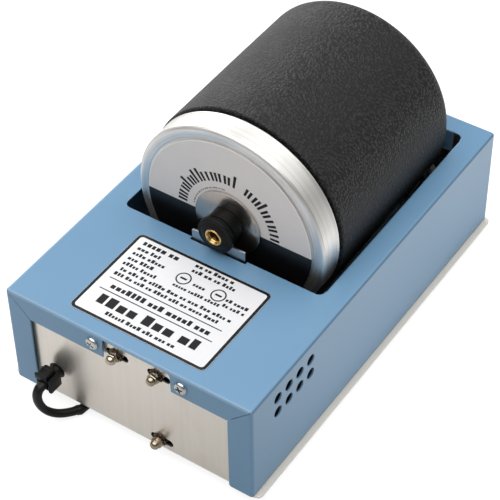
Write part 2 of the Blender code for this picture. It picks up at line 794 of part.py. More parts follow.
def make_outer_lid():
    """The spun outer lid with its disc label, hub washer, knob and brass insert."""
    axis = (0.0, 0.0, BARREL_Z)
    hole = STUD_R + 0.0005
    rim = LID_RIM_Y
    face_in = LID_FACE_Y + LID_SHEET
    round_r = LID_R - LID_SHOULDER
    round_y = LID_FACE_Y + LID_SHOULDER
    outside = [
        (LID_R, rim),
        *arc(round_r, round_y, LID_SHOULDER, 0, -90, 4),
    ]
    inside = [
        *reversed(arc(round_r, round_y, LID_SHOULDER - LID_SHEET, 0, -90, 4)),
        (LID_R - LID_SHEET, rim),
    ]
    lid = [*outside, (hole, LID_FACE_Y), (hole, face_in), *inside]
    turned("outer_lid", lid, "aluminium", axis, steps=32, ring=True)

    label_rear = LID_FACE_Y - GAP
    label = tube_profile(LABEL_R, hole, label_rear, label_rear - 0.0003)
    turned("lid_label", label, "label_white", axis, steps=32, ring=True)
    washer_rear = label_rear - 0.0003 - GAP
    washer = tube_profile(HUB_WASHER_R, hole, washer_rear, KNOB_REAR + GAP)
    turned("hub_washer", washer, "aluminium", axis, steps=24, ring=True)

    insert = tube_profile(INSERT_R, STUD_R + GAP, KNOB_REAR, INSERT_FRONT)
    turned("knob_insert", insert, "brass", axis, steps=20, ring=True)
    knob = [
        (KNOB_BODY_R, KNOB_REAR),
        (KNOB_BODY_R, KNOB_GROOVE_REAR),
        (KNOB_GROOVE_R, KNOB_GROOVE_REAR),
        (KNOB_GROOVE_R, KNOB_GROOVE_FRONT),
        (KNOB_R, KNOB_GROOVE_FRONT),
        (KNOB_R, KNOB_FRONT + 0.0012),
        (KNOB_R - 0.0012, KNOB_FRONT),
        (INSERT_R + GAP, KNOB_FRONT),
        (INSERT_R + GAP, KNOB_REAR),
    ]
    turned("knob", knob, "black_plastic", axis, steps=20, ring=True)


def make_rating_label():
    """The plain label on the cover, in front of the opening."""
    low_z = COVER_TOP + GAP
    box("rating_label", (-0.0395, -0.1070, low_z), (0.0395, -0.0498, low_z + 0.0003), "label_white")


clear_scene()
PARTS = new_collection("rotary_rock_tumbler")
CUTTERS = new_collection("cutters")
make_base_pan()
make_cover()
make_cover_screws()
make_feet()
make_cord()
make_roller_frame()
make_shafts()
make_drive()
make_motor()
make_motor_fasteners()
make_barrel()
make_outer_lid()
make_rating_label()
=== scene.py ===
"""The looks of the rotary rock tumbler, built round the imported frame. Metres, +Z up, front at -Y."""

import math
import random

import bmesh
import bpy
import numpy as np
from mathutils import Matrix, Vector


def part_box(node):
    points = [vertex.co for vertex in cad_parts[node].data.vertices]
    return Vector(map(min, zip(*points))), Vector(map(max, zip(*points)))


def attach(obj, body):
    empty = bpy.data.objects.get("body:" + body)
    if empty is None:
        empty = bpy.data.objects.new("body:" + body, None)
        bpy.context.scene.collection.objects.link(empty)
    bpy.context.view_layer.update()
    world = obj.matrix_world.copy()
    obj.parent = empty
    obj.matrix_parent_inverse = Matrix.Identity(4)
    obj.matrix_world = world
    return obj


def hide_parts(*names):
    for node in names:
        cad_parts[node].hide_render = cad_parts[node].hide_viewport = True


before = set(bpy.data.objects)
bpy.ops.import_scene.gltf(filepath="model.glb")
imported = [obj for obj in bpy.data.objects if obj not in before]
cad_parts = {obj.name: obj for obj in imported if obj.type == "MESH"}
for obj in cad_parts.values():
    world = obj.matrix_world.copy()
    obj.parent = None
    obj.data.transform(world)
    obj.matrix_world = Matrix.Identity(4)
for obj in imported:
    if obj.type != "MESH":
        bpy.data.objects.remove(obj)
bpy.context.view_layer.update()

TAU = 2 * math.pi
MM = 0.001

# ------------------------------------------------------------------ places, read from the frame


def middle(node):
    low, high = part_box(node)
    return (low + high) / 2


def radius_of(node):
    low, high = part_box(node)
    return (high.x - low.x) / 2


COVER_LOW, COVER_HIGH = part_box("cover")
PAN_LOW, PAN_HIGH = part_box("base_pan")
BARREL_LOW, BARREL_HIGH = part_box("tumbling_barrel")
FRAME_LOW, FRAME_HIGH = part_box("roller_frame")
AXIS = middle("tumbling_barrel")
AXIS.y = 0.0
BARREL_R = radius_of("tumbling_barrel")
FLOOR_Z = COVER_LOW.z
TOP_Z = COVER_HIGH.z
HALF_W = COVER_HIGH.x
HALF_L = COVER_HIGH.y

# ------------------------------------------------------------------ mesh helpers


def link(name, mesh, body, *nodes, finish):
    """A finished piece: shown, smooth, riding on its body and standing for its CAD nodes."""
    piece = bpy.data.objects.new(name, mesh)
    bpy.context.scene.collection.objects.link(piece)
    mesh.materials.append(finish)
    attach(piece, body)
    if nodes:
        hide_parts(*nodes)
    return piece


def smooth(mesh, angle=38.0):
    mesh.shade_smooth()
    mesh.set_sharp_from_angle(angle=math.radians(angle))


def weighted(piece):
    step = piece.modifiers.new("Even normals", "WEIGHTED_NORMAL")
    step.keep_sharp = True
    return piece


def mesh_from(form, name, angle=38.0):
    bmesh.ops.recalc_face_normals(form, faces=form.faces)
    mesh = bpy.data.meshes.new(name)
    form.to_mesh(mesh)
    form.free()
    smooth(mesh, angle)
    return mesh


def rounded(points, radius, closed=False, steps=3):
    """The outline with each corner turned into an arc. A point may carry its own radius."""
    count = len(points)
    result = []
    for i, point in enumerate(points):
        here = Vector(point[:2])
        wanted = point[2] if len(point) > 2 else radius
        if wanted <= 0 or (not closed and i in (0, count - 1)):
            result.append(tuple(here))
            continue
        back = Vector(points[i - 1][:2]) - here
        ahead = Vector(points[(i + 1) % count][:2]) - here
        reach = min(wanted, 0.45 * back.length, 0.45 * ahead.length)
        start = here + back.normalized() * reach
        end = here + ahead.normalized() * reach
        for k in range(steps + 1):
            t = k / steps
            result.append(tuple((1 - t) ** 2 * start + 2 * t * (1 - t) * here + t * t * end))
    return result


def lathe_form(profile, steps=128, closed=False, swell=None):
    """A turned form about the Y axis through the origin, from (radius, y) pairs."""
    form = bmesh.new()
    rings = []
    for radius, y in profile:
        if radius < 1e-7:
            rings.append([form.verts.new((0.0, y, 0.0))] * steps)
            continue
        ring = []
        for i in range(steps):
            angle = TAU * i / steps
            r = radius + (swell(angle, y, radius) if swell else 0.0)
            ring.append(form.verts.new((r * math.cos(angle), y, r * math.sin(angle))))
        rings.append(ring)
    pairs = list(zip(rings, rings[1:]))
    if closed:
        pairs.append((rings[-1], rings[0]))
    for low, high in pairs:
        for i in range(steps):
            j = (i + 1) % steps
            corners = []
            for vert in (low[i], low[j], high[j], high[i]):
                if vert not in corners:
                    corners.append(vert)
            if len(corners) > 2:
                form.faces.new(corners)
    return form


def lathe(name, profile, at, body, *nodes, finish, steps=128, closed=False, round_by=0.0003, swell=None):
    """A turned piece on an axis along Y through the given place."""
    form = lathe_form(rounded(profile, round_by, closed), steps, closed, swell)
    bmesh.ops.translate(form, verts=form.verts, vec=(at[0], 0.0, at[2]))
    return link(name, mesh_from(form, name), body, *nodes, finish=finish)


def tube(outer, inner, high, low):
    return [(outer, high), (outer, low), (inner, low), (inner, high)]


def sheet_form(loops, thickness, edge):
    """A flat sheet from an outline and its holes, as a bmesh; z runs from 0 at its outer face to -thickness."""
    curve = bpy.data.curves.new("sheet", "CURVE")
    curve.dimensions = "2D"
    curve.fill_mode = "BOTH"
    curve.extrude = thickness / 2 - edge
    curve.bevel_depth = edge
    curve.bevel_resolution = 1
    curve.offset = -edge
    for index, loop in enumerate(loops):
        area = sum(a[0] * b[1] - b[0] * a[1] for a, b in zip(loop, loop[1:] + loop[:1]))
        if (area > 0) != (index == 0):
            loop = loop[::-1]
        spline = curve.splines.new("POLY")
        spline.points.add(len(loop) - 1)
        for point, (u, v) in zip(spline.points, loop):
            point.co = (u, v, 0.0, 1.0)
        spline.use_cyclic_u = True
    holder = bpy.data.objects.new("sheet", curve)
    bpy.context.scene.collection.objects.link(holder)
    graph = bpy.context.evaluated_depsgraph_get()
    mesh = bpy.data.meshes.new_from_object(holder.evaluated_get(graph))
    bpy.data.objects.remove(holder)
    bpy.data.curves.remove(curve)
    form = bmesh.new()
    form.from_mesh(mesh)
    bpy.data.meshes.remove(mesh)
    bmesh.ops.remove_doubles(form, verts=form.verts, dist=1e-6)
    bmesh.ops.translate(form, verts=form.verts, vec=(0.0, 0.0, -thickness / 2))
    return form


def slice_form(form, axis, places):
    normal = [0.0, 0.0, 0.0]
    normal[axis] = 1.0
    for place in places:
        spot = [0.0, 0.0, 0.0]
        spot[axis] = place
        parts = form.verts[:] + form.edges[:] + form.faces[:]
        bmesh.ops.bisect_plane(form, geom=parts, dist=1e-7, plane_co=spot, plane_no=normal)


def fold(run, depth, half, radius):
    """One fold of a sheet over a straight edge: run is across the sheet, depth below its outer face."""
    flat = half - radius
    turn = radius * math.pi / 2
    length = abs(run)
    sign = 1.0 if run >= 0 else -1.0
    if length <= flat:
        return run, depth
    if length <= flat + turn:
        angle = (length - flat) / radius
        return sign * (flat + (radius - depth) * math.sin(angle)), radius - (radius - depth) * math.cos(angle)
    return sign * (half - depth), radius + length - flat - turn


def fold_lines(half, radius, pieces=5):
    turn = radius * math.pi / 2
    places = [half - radius + turn * k / pieces for k in range(pieces + 1)]
    return [-p for p in places] + places


def unfolded(drop, half, radius):
    """How far along the flat sheet a point lies that ends at a drop below the fold."""
    return half - radius + radius * math.pi / 2 + drop - radius


def arc_points(cx, cy, radius, start, end, steps):
    """Points on an arc, with angles in degrees."""
    return [
        (
            cx + radius * math.cos(math.radians(start + (end - start) * k / steps)),
            cy + radius * math.sin(math.radians(start + (end - start) * k / steps)),
        )
        for k in range(steps + 1)
    ]


def disc(cx, cy, radius, steps=28):
    return [
        (cx + radius * math.cos(TAU * k / steps), cy + radius * math.sin(TAU * k / steps)) for k in range(steps)
    ]


def round_rect(left, right, low, high, radius, steps=6):
    return (
        arc_points(right - radius, high - radius, radius, 0, 90, steps)
        + arc_points(left + radius, high - radius, radius, 90, 180, steps)
        + arc_points(left + radius, low + radius, radius, 180, 270, steps)
        + arc_points(right - radius, low + radius, radius, 270, 360, steps)
    )


def block_form(low, high):
    size = [b - a for a, b in zip(low, high)]
    center = [(a + b) / 2 for a, b in zip(low, high)]
    form = bmesh.new()
    matrix = Matrix.Translation(center) @ Matrix.Diagonal((*size, 1.0))
    bmesh.ops.create_cube(form, size=1.0, matrix=matrix)
    return form


def prism(rings):
    """A closed form between two matching outlines."""
    form = bmesh.new()
    low, high = ([form.verts.new(point) for point in ring] for ring in rings)
    for i in range(len(low)):
        j = (i + 1) % len(low)
        form.faces.new((low[i], low[j], high[j], high[i]))
    form.faces.new(low)
    form.faces.new(high)
    return form


def block(name, low, high, body, *nodes, finish, edge=0.0003, segments=2):
    """A box-shaped piece with softened edges."""
    form = block_form(low, high)
    bmesh.ops.bevel(
        form, geom=form.edges[:], offset=edge, segments=segments, profile=0.5, affect="EDGES", clamp_overlap=True
    )
    return weighted(link(name, mesh_from(form, name), body, *nodes, finish=finish))


def merged(name, forms, angle=38.0):
    """One mesh from several forms."""
    whole = bmesh.new()
    for form in forms:
        bmesh.ops.recalc_face_normals(form, faces=form.faces)
        part = bpy.data.meshes.new("part")
        form.to_mesh(part)
        form.free()
        whole.from_mesh(part)
        bpy.data.meshes.remove(part)
    mesh = bpy.data.meshes.new(name)
    whole.to_mesh(mesh)
    whole.free()
    smooth(mesh, angle)
    return mesh


# ------------------------------------------------------------------ material helpers


class Finish:
    """A procedural material under construction."""

    def __init__(self, name):
        self.material = bpy.data.materials.new(name)
        self.material.use_nodes = True
        self.tree = self.material.node_tree
        self.shader = self.tree.nodes["Principled BSDF"]
        self.coordinates = self.node("ShaderNodeTexCoord").outputs["Object"]

    def node(self, kind, inputs=None, **settings):
        made = self.tree.nodes.new(kind)
        for key, value in settings.items():
            setattr(made, key, value)
        for key, value in (inputs or {}).items():
            self.feed(made.inputs[key], value)
        return made

    def feed(self, socket, value):
        if isinstance(value, bpy.types.NodeSocket):
            self.tree.links.new(value, socket)
        else:
            socket.default_value = value

    def stretch(self, scale, source=None):
        vector = source or self.coordinates
        return self.node("ShaderNodeMapping", {"Vector": vector, "Scale": scale}).outputs["Vector"]

    def noise(self, scale, detail=2.0, rough=0.5, vector=None, distortion=0.0):
        values = {
            "Vector": vector or self.coordinates,
            "Scale": scale,
            "Detail": detail,
            "Roughness": rough,
            "Distortion": distortion,
        }
        return self.node("ShaderNodeTexNoise", values).outputs["Fac"]

    def voronoi(self, scale, feature="F1", vector=None):
        values = {"Vector": vector or self.coordinates, "Scale": scale}
        return self.node("ShaderNodeTexVoronoi", values, feature=feature).outputs["Distance"]

    def math(self, operation, a, b=0.0):
        made = self.node("ShaderNodeMath", operation=operation)
        self.feed(made.inputs[0], a)
        self.feed(made.inputs[1], b)
        return made.outputs[0]

    def span(self, value, low, high, from_low=0.0, from_high=1.0):
        values = {"Value": value, "From Min": from_low, "From Max": from_high, "To Min": low, "To Max": high}
        return self.node("ShaderNodeMapRange", values).outputs["Result"]

    def mix(self, factor, a, b):
        made = self.node("ShaderNodeMix", data_type="RGBA")
        self.feed(made.inputs[0], factor)
        self.feed(made.inputs[6], a if isinstance(a, bpy.types.NodeSocket) else (*a, 1.0))
        self.feed(made.inputs[7], b if isinstance(b, bpy.types.NodeSocket) else (*b, 1.0))
        return made.outputs[2]

    def bump(self, height, distance, strength=1.0, normal=None):
        values = {"Height": height, "Distance": distance, "Strength": strength, "Filter Width": 0.6}
        if normal is not None:
            values["Normal"] = normal
        return self.node("ShaderNodeBump", values).outputs["Normal"]

    def set(self, color=None, rough=None, metal=None, normal=None, **more):
        named = {"Base Color": color, "Roughness": rough, "Metallic": metal, "Normal": normal}
        for key, value in {**named, **more}.items():
            if value is None:
                continue
            if key == "Base Color" and isinstance(value, tuple):
                value = (*value, 1.0)
            self.feed(self.shader.inputs[key], value)
        return self.material


def paint_finish():
    """Baked semi-gloss enamel with a fine orange peel, a painted highlight on the front fold and painted shade along
    the side folds.
    """
    f = Finish("blue_paint_fine")
    patch = f.span(f.noise(14.0, 3.0), 0.0, 1.0, 0.35, 0.65)
    color = f.mix(patch, (0.138, 0.276, 0.428), (0.146, 0.286, 0.440))
    place = f.node("ShaderNodeSeparateXYZ", {"Vector": f.coordinates}).outputs
    high = f.math("GREATER_THAN", place["Z"], TOP_Z - 1.6 * MM)
    front_fold_highlight = f.math("MULTIPLY", high, f.math("LESS_THAN", place["Y"], 1.1 * MM - HALF_L))
    side_fold_shade = f.math("MULTIPLY", high, f.math("GREATER_THAN", f.math("ABSOLUTE", place["X"]), HALF_W - 0.7 * MM))
    # Painted highlight: the paint is lightened along the front fold where the bend catches the light.
    color = f.mix(f.math("MULTIPLY", front_fold_highlight, 0.16), color, (0.60, 0.70, 0.78))
    # Painted shade: a dark line along the side folds, where the bend reflects dark surroundings.
    color = f.mix(f.math("MULTIPLY", side_fold_shade, 0.45), color, (0.05, 0.10, 0.16))
    peel = f.bump(f.noise(700.0, 1.0), 0.000003, 1.0)
    rough = f.span(f.noise(30.0, 2.0), 0.27, 0.285)
    return f.set(color, rough, 0.0, peel)


def pan_finish():
    """Bare rolled sheet with an upright brushed grain and faint stains, painted dark as shade and made dull inside the
    housing.
    """
    f = Finish("bare_sheet_brushed")
    place = f.node("ShaderNodeSeparateXYZ", {"Vector": f.coordinates}).outputs
    within = [f.math("LESS_THAN", f.math("ABSOLUTE", place[axis]), edge) for axis, edge in (("X", 0.0705), ("Y", 0.1125))]
    inside = f.math("MULTIPLY", *within)
    grain = f.noise(1.0, 4.0, 0.6, f.stretch((2600.0, 2600.0, 40.0)))
    bands = f.noise(1.0, 2.0, 0.5, f.stretch((420.0, 420.0, 12.0)))
    stain = f.noise(45.0, 3.0, 0.6)
    tone = f.math("ADD", f.math("MULTIPLY", grain, 0.35), f.math("MULTIPLY", bands, 0.65))
    color = f.mix(f.span(tone, 0.0, 1.0, 0.3, 0.7), (0.805, 0.75, 0.68), (0.865, 0.815, 0.74))
    color = f.mix(f.span(stain, 0.0, 0.35, 0.55, 0.8), color, (0.70, 0.63, 0.54))
    # Painted shade: inside the housing the sheet is painted near-black, as shade under the cover.
    color = f.mix(inside, color, (0.045, 0.043, 0.040))
    rim = f.math("GREATER_THAN", f.math("ABSOLUTE", place["X"]), 0.0722)
    color = f.mix(rim, color, (0.78, 0.74, 0.67))
    dull = f.math("MAXIMUM", inside, rim)
    rough = f.math("ADD", f.span(grain, 0.24, 0.36), f.math("MULTIPLY", dull, 0.3))
    return f.set(color, rough, f.span(dull, 0.9, 0.2), f.bump(grain, 0.00003, 0.3))


def rubber_finish():
    """Black rubber with the grain of leather: small pebbles with creases between them, the creases painted darker as
    shade.
    """
    f = Finish("rubber_grained")
    drift = f.node("ShaderNodeTexNoise", {"Vector": f.coordinates, "Scale": 210.0, "Detail": 2.0}).outputs["Color"]
    shift = f.node("ShaderNodeVectorMath", {0: drift}, operation="SCALE")
    shift.inputs["Scale"].default_value = 0.0026
    vector = f.node("ShaderNodeVectorMath", {0: f.coordinates, 1: shift.outputs[0]}, operation="ADD").outputs[0]
    cells = f.voronoi(690.0, "F1", vector)
    fine = f.noise(1900.0, 2.0, 0.6)
    broad = f.noise(60.0, 3.0, 0.55)
    pebble_and_crease_shade = f.span(cells, 1.0, 0.0, 0.10, 0.62)
    height = f.math("ADD", pebble_and_crease_shade, f.math("MULTIPLY", fine, 0.35))
    # Painted shade: the creases are coloured darker than the pebble tops.
    color = f.mix(pebble_and_crease_shade, (0.013, 0.013, 0.0135), (0.039, 0.039, 0.039))
    rough = f.span(f.math("ADD", fine, broad), 0.38, 0.54, 0.6, 1.4)
    return f.set(color, rough, 0.0, f.bump(height, 0.00040, 1.0), **{"Specular IOR Level": 0.23})


def plain_rubber_finish(name="rubber_plain", tone=0.022):
    f = Finish(name)
    fine = f.noise(1500.0, 3.0, 0.6)
    color = f.mix(f.noise(90.0, 3.0), (tone * 0.8,) * 3, (tone * 1.25,) * 3)
    return f.set(color, f.span(fine, 0.45, 0.62), 0.0, f.bump(fine, 0.00008, 0.5))


def plastic_finish(name, dark, light, low=0.28, high=0.42, gloss=0.5):
    """Moulded plastic with a faint texture."""
    f = Finish(name)
    fine = f.noise(1800.0, 2.0, 0.5)
    color = f.mix(f.noise(60.0, 2.0), dark, light)
    rough = f.span(f.noise(200.0, 3.0), low, high)
    return f.set(color, rough, 0.0, f.bump(fine, 0.00004, 0.35), **{"Specular IOR Level": gloss})


def metal_finish(name, dark, light, low, high, scale=400.0, depth=0.00003, stretch=(1.0, 1.0, 1.0), deep=0.0):
    """Worked metal with fine tool marks and a slight change of tone; below a given height it is painted dark as shade
    inside the housing, and less metallic.
    """
    f = Finish(name)
    marks = f.noise(scale, 4.0, 0.6, f.stretch(stretch))
    color = f.mix(f.span(f.noise(70.0, 3.0), 0.0, 1.0, 0.3, 0.7), dark, light)
    metal = 1.0
    # Painted shade: below the given height the colour is painted near-black, as shade inside the housing.
    if deep:
        height = f.node("ShaderNodeSeparateXYZ", {"Vector": f.coordinates}).outputs["Z"]
        below = f.span(height, 1.0, 0.0, deep - 0.012, deep)
        color = f.mix(below, color, (0.040, 0.040, 0.040))
        metal = f.span(below, 1.0, 0.2)
    return f.set(color, f.span(marks, low, high, 0.3, 0.7), metal, f.bump(marks, depth, 0.3))


def turned_finish(name, dark, light, low, high, rings=5200.0, depth=0.00002, bore=0.0, streak=0.0):
    """Metal spun or turned on the barrel's axis: fine concentric marks."""
    f = Finish(name)
    offset = f.node("ShaderNodeVectorMath", {0: f.coordinates, 1: tuple(AXIS)}, operation="SUBTRACT").outputs[0]
    parts = f.node("ShaderNodeSeparateXYZ", {"Vector": offset}).outputs
    squares = f.math("ADD", f.math("MULTIPLY", parts["X"], parts["X"]), f.math("MULTIPLY", parts["Z"], parts["Z"]))
    radius = f.math("SQRT", squares)
    along = f.math("ADD", radius, f.math("MULTIPLY", parts["Y"], 1.3))
    line = f.node("ShaderNodeCombineXYZ", {"X": f.math("MULTIPLY", along, rings)}).outputs[0]
    marks = f.noise(1.0, 3.0, 0.6, line)
    blotch = f.noise(38.0, 3.0, 0.55)
    color = f.mix(f.span(blotch, 0.0, 1.0, 0.35, 0.65), dark, light)
    if streak:
        band = f.node("ShaderNodeCombineXYZ", {"X": f.math("MULTIPLY", along, 900.0)}).outputs[0]
        color = f.mix(f.span(f.noise(1.0, 3.0, 0.6, band), 0.0, streak, 0.42, 0.68), color, (0.50, 0.45, 0.38))
    # Painted shade: deeper in the insert's bore the colour is painted dark brown, as shade in the hole.
    if bore:
        painted_bore_shade = f.span(parts["Y"], 1.0, 0.0, bore, bore + 1.6 * MM)
        outside = f.math("GREATER_THAN", radius, 4.0 * MM)
        color = f.mix(f.math("MAXIMUM", painted_bore_shade, outside), (0.10, 0.04, 0.015), color)
    rough = f.math("ADD", f.span(marks, low, high, 0.3, 0.7), f.span(blotch, 0.0, 0.04, 0.4, 0.7))
    return f.set(color, rough, 1.0, f.bump(marks, depth, 0.25))


def film_finish(name, tone, low=0.25, high=0.35, gloss=0.5):
    """Printed film: one ink tone with a slight mottle."""
    f = Finish(name)
    mottle = f.noise(260.0, 3.0, 0.5)
    dark = tuple(c * 0.96 for c in tone)
    rough = f.span(f.noise(120.0, 2.0), low, high)
    normal = f.bump(mottle, 0.00003, 0.2)
    return f.set(f.mix(mottle, dark, tone), rough, 0.0, normal, **{"Specular IOR Level": gloss})


def laminated_finish():
    """Stacked steel laminations: fine lines across the stack."""
    f = Finish("laminated_steel")
    lines = f.node(
        "ShaderNodeTexWave",
        {"Vector": f.coordinates, "Scale": 310.0, "Distortion": 0.2},
        wave_type="BANDS",
        bands_direction="Y",
    ).outputs["Fac"]
    color = f.mix(lines, (0.10, 0.10, 0.105), (0.32, 0.32, 0.33))
    return f.set(color, 0.45, 0.85, f.bump(lines, 0.0001, 0.6))


def winding_finish():
    """Taped coil: cloth tape wound round it."""
    f = Finish("coil_tape")
    lines = f.node(
        "ShaderNodeTexWave",
        {"Vector": f.coordinates, "Scale": 90.0, "Distortion": 1.0, "Detail": 2.0},
        wave_type="BANDS",
        bands_direction="Z",
    ).outputs["Fac"]
    color = f.mix(lines, (0.30, 0.16, 0.05), (0.48, 0.30, 0.11))
    return f.set(color, 0.55, 0.0, f.bump(lines, 0.0002, 0.5))


BLUE = paint_finish()
SHEET = pan_finish()
GRAIN_RUBBER = rubber_finish()
RUBBER = plain_rubber_finish()
KNOB_BLACK = plastic_finish("knob_phenolic", (0.004, 0.004, 0.004), (0.007, 0.007, 0.007), 0.32, 0.45, 0.16)
BLACK = plastic_finish("black_plastic_fine", (0.005, 0.005, 0.005), (0.009, 0.009, 0.009), 0.28, 0.42, 0.18)
CORD = plastic_finish("cord_vinyl", (0.006, 0.006, 0.006), (0.011, 0.011, 0.010), 0.30, 0.40, 0.22)
NYLON = plastic_finish("nylon_fine", (0.20, 0.19, 0.16), (0.27, 0.25, 0.22), 0.35, 0.5)
SPUN = turned_finish("spun_aluminium", (0.82, 0.81, 0.79), (0.92, 0.915, 0.90), 0.36, 0.46, streak=0.6)
WASHER = turned_finish("polished_washer", (0.52, 0.47, 0.42), (0.60, 0.55, 0.50), 0.18, 0.26)
BRASS = turned_finish("turned_brass", (0.72, 0.48, 0.16), (0.86, 0.62, 0.26), 0.18, 0.30, 4000.0, bore=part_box("knob_insert")[0].y + 1.4 * MM)
NICKEL = metal_finish("bright_nickel", (0.40, 0.33, 0.24), (0.58, 0.50, 0.39), 0.09, 0.16)
BRONZED = metal_finish("bronzed_washer", (0.09, 0.065, 0.045), (0.17, 0.13, 0.09), 0.35, 0.5)
PLATED = metal_finish("plated_screw", (0.52, 0.53, 0.53), (0.66, 0.67, 0.67), 0.18, 0.28)
ZINC = metal_finish("zinc_sheet", (0.50, 0.52, 0.54), (0.66, 0.68, 0.70), 0.28, 0.42, 240.0, deep=TOP_Z - 8 * MM)
DARK_STEEL = metal_finish("dark_steel", (0.10, 0.10, 0.10), (0.20, 0.20, 0.20), 0.35, 0.5)
GROUND = metal_finish("ground_steel", (0.55, 0.55, 0.56), (0.68, 0.68, 0.69), 0.07, 0.13, 300.0, 0.00002, (1, 12, 1))
LABEL_WHITE = film_finish("label_white_film", (0.74, 0.74, 0.755))
LABEL_INK = film_finish("label_ink", (0.010, 0.010, 0.011), 0.30, 0.40, 0.2)
DISC_GREY = film_finish("disc_grey_film", (0.77, 0.725, 0.70), 0.30, 0.42)
DISC_BLACK = film_finish("disc_black_film", (0.004, 0.004, 0.005), 0.30, 0.40)
DISC_PALE = film_finish("disc_pale_edge", (0.86, 0.84, 0.80), 0.30, 0.42)
DISC_FAINT = film_finish("disc_faint_ink", (0.26, 0.26, 0.26), 0.30, 0.42)
LAMINATED = laminated_finish()
WINDING = winding_finish()

# The record's material slot that each finish belongs to.
SLOTS = {
    "blue_paint": (BLUE,),
    "bare_sheet": (SHEET,),
    "zinc": (ZINC, PLATED, BRONZED),
    "steel": (DARK_STEEL, GROUND, LAMINATED),
    "nickel": (NICKEL,),
    "aluminium": (SPUN, WASHER),
    "brass": (BRASS,),
    "copper": (WINDING,),
    "rubber": (GRAIN_RUBBER, RUBBER),
    "black_plastic": (KNOB_BLACK, BLACK, CORD, LABEL_INK, DISC_BLACK, DISC_FAINT),
    "nylon": (NYLON,),
    "label_white": (LABEL_WHITE, DISC_GREY, DISC_PALE),
}
for slot, finishes in SLOTS.items():
    for each in finishes:
        each["slot"] = slot

# ------------------------------------------------------------------ cover

COVER_SHEET = 0.9 * MM
COVER_BEND = 1.7 * MM
RETURN_W = 14.0 * MM
FLANGE_H = 14.1 * MM
SIDE_LIFT = 0.8 * MM
SEAM = 0.6 * MM
OPENING = (-60.0 * MM, 60.0 * MM, -36.8 * MM, 105.6 * MM)
VENT_R = 3.15 * MM


def cover_outline():
    """The cover's flat pattern: top, sides and flanges in one outline, before it is folded."""
    flange_v = unfolded(FLANGE_H, HALF_L, COVER_BEND)
    return_v = unfolded(RETURN_W, HALF_L, COVER_BEND)
    side_u = unfolded(TOP_Z - FLOOR_Z - SIDE_LIFT, HALF_W, COVER_BEND)
    return_u = unfolded(TOP_Z - FLOOR_Z, HALF_W, COVER_BEND)
    apex_u = HALF_W - COVER_BEND + 0.72 * COVER_BEND
    apex_v = HALF_L - COVER_BEND + 0.72 * COVER_BEND
    flange_u = HALF_W - FLANGE_H - SEAM / 2
    miter_u = unfolded(RETURN_W + SEAM / 2, HALF_W, COVER_BEND)
    clip = 1.0 * MM
    slit = 0.15 * MM
    quarter = [
        (flange_u, flange_v),
        (apex_u - slit, apex_v + slit),
        (apex_u, apex_v),
        (apex_u + slit, apex_v + slit * 0.9),
        (miter_u, return_v),
        (return_u - clip, return_v),
        (return_u, return_v - clip),
        (return_u, HALF_L - COVER_BEND + 0.1 * MM),
        (side_u, HALF_L - COVER_BEND),
    ]
    rear_right = quarter
    front_right = [(u, -v) for u, v in reversed(quarter)]
    front_left = [(-u, -v) for u, v in quarter]
    rear_left = [(-u, v) for u, v in reversed(quarter)]
    notch_top = unfolded(1.9 * MM, HALF_L, COVER_BEND)
    notch_left, notch_right = -13.5 * MM, 26.4 * MM
    notch = rounded(
        [
            (notch_right + 0.2 * MM, -flange_v),
            (notch_right, -notch_top, 2.5 * MM),
            (notch_left, -notch_top, 0.6 * MM),
            (notch_left - 0.2 * MM, -flange_v),
        ],
        0.5 * MM,
    )
    return rear_right + front_right + notch + front_left + rear_left


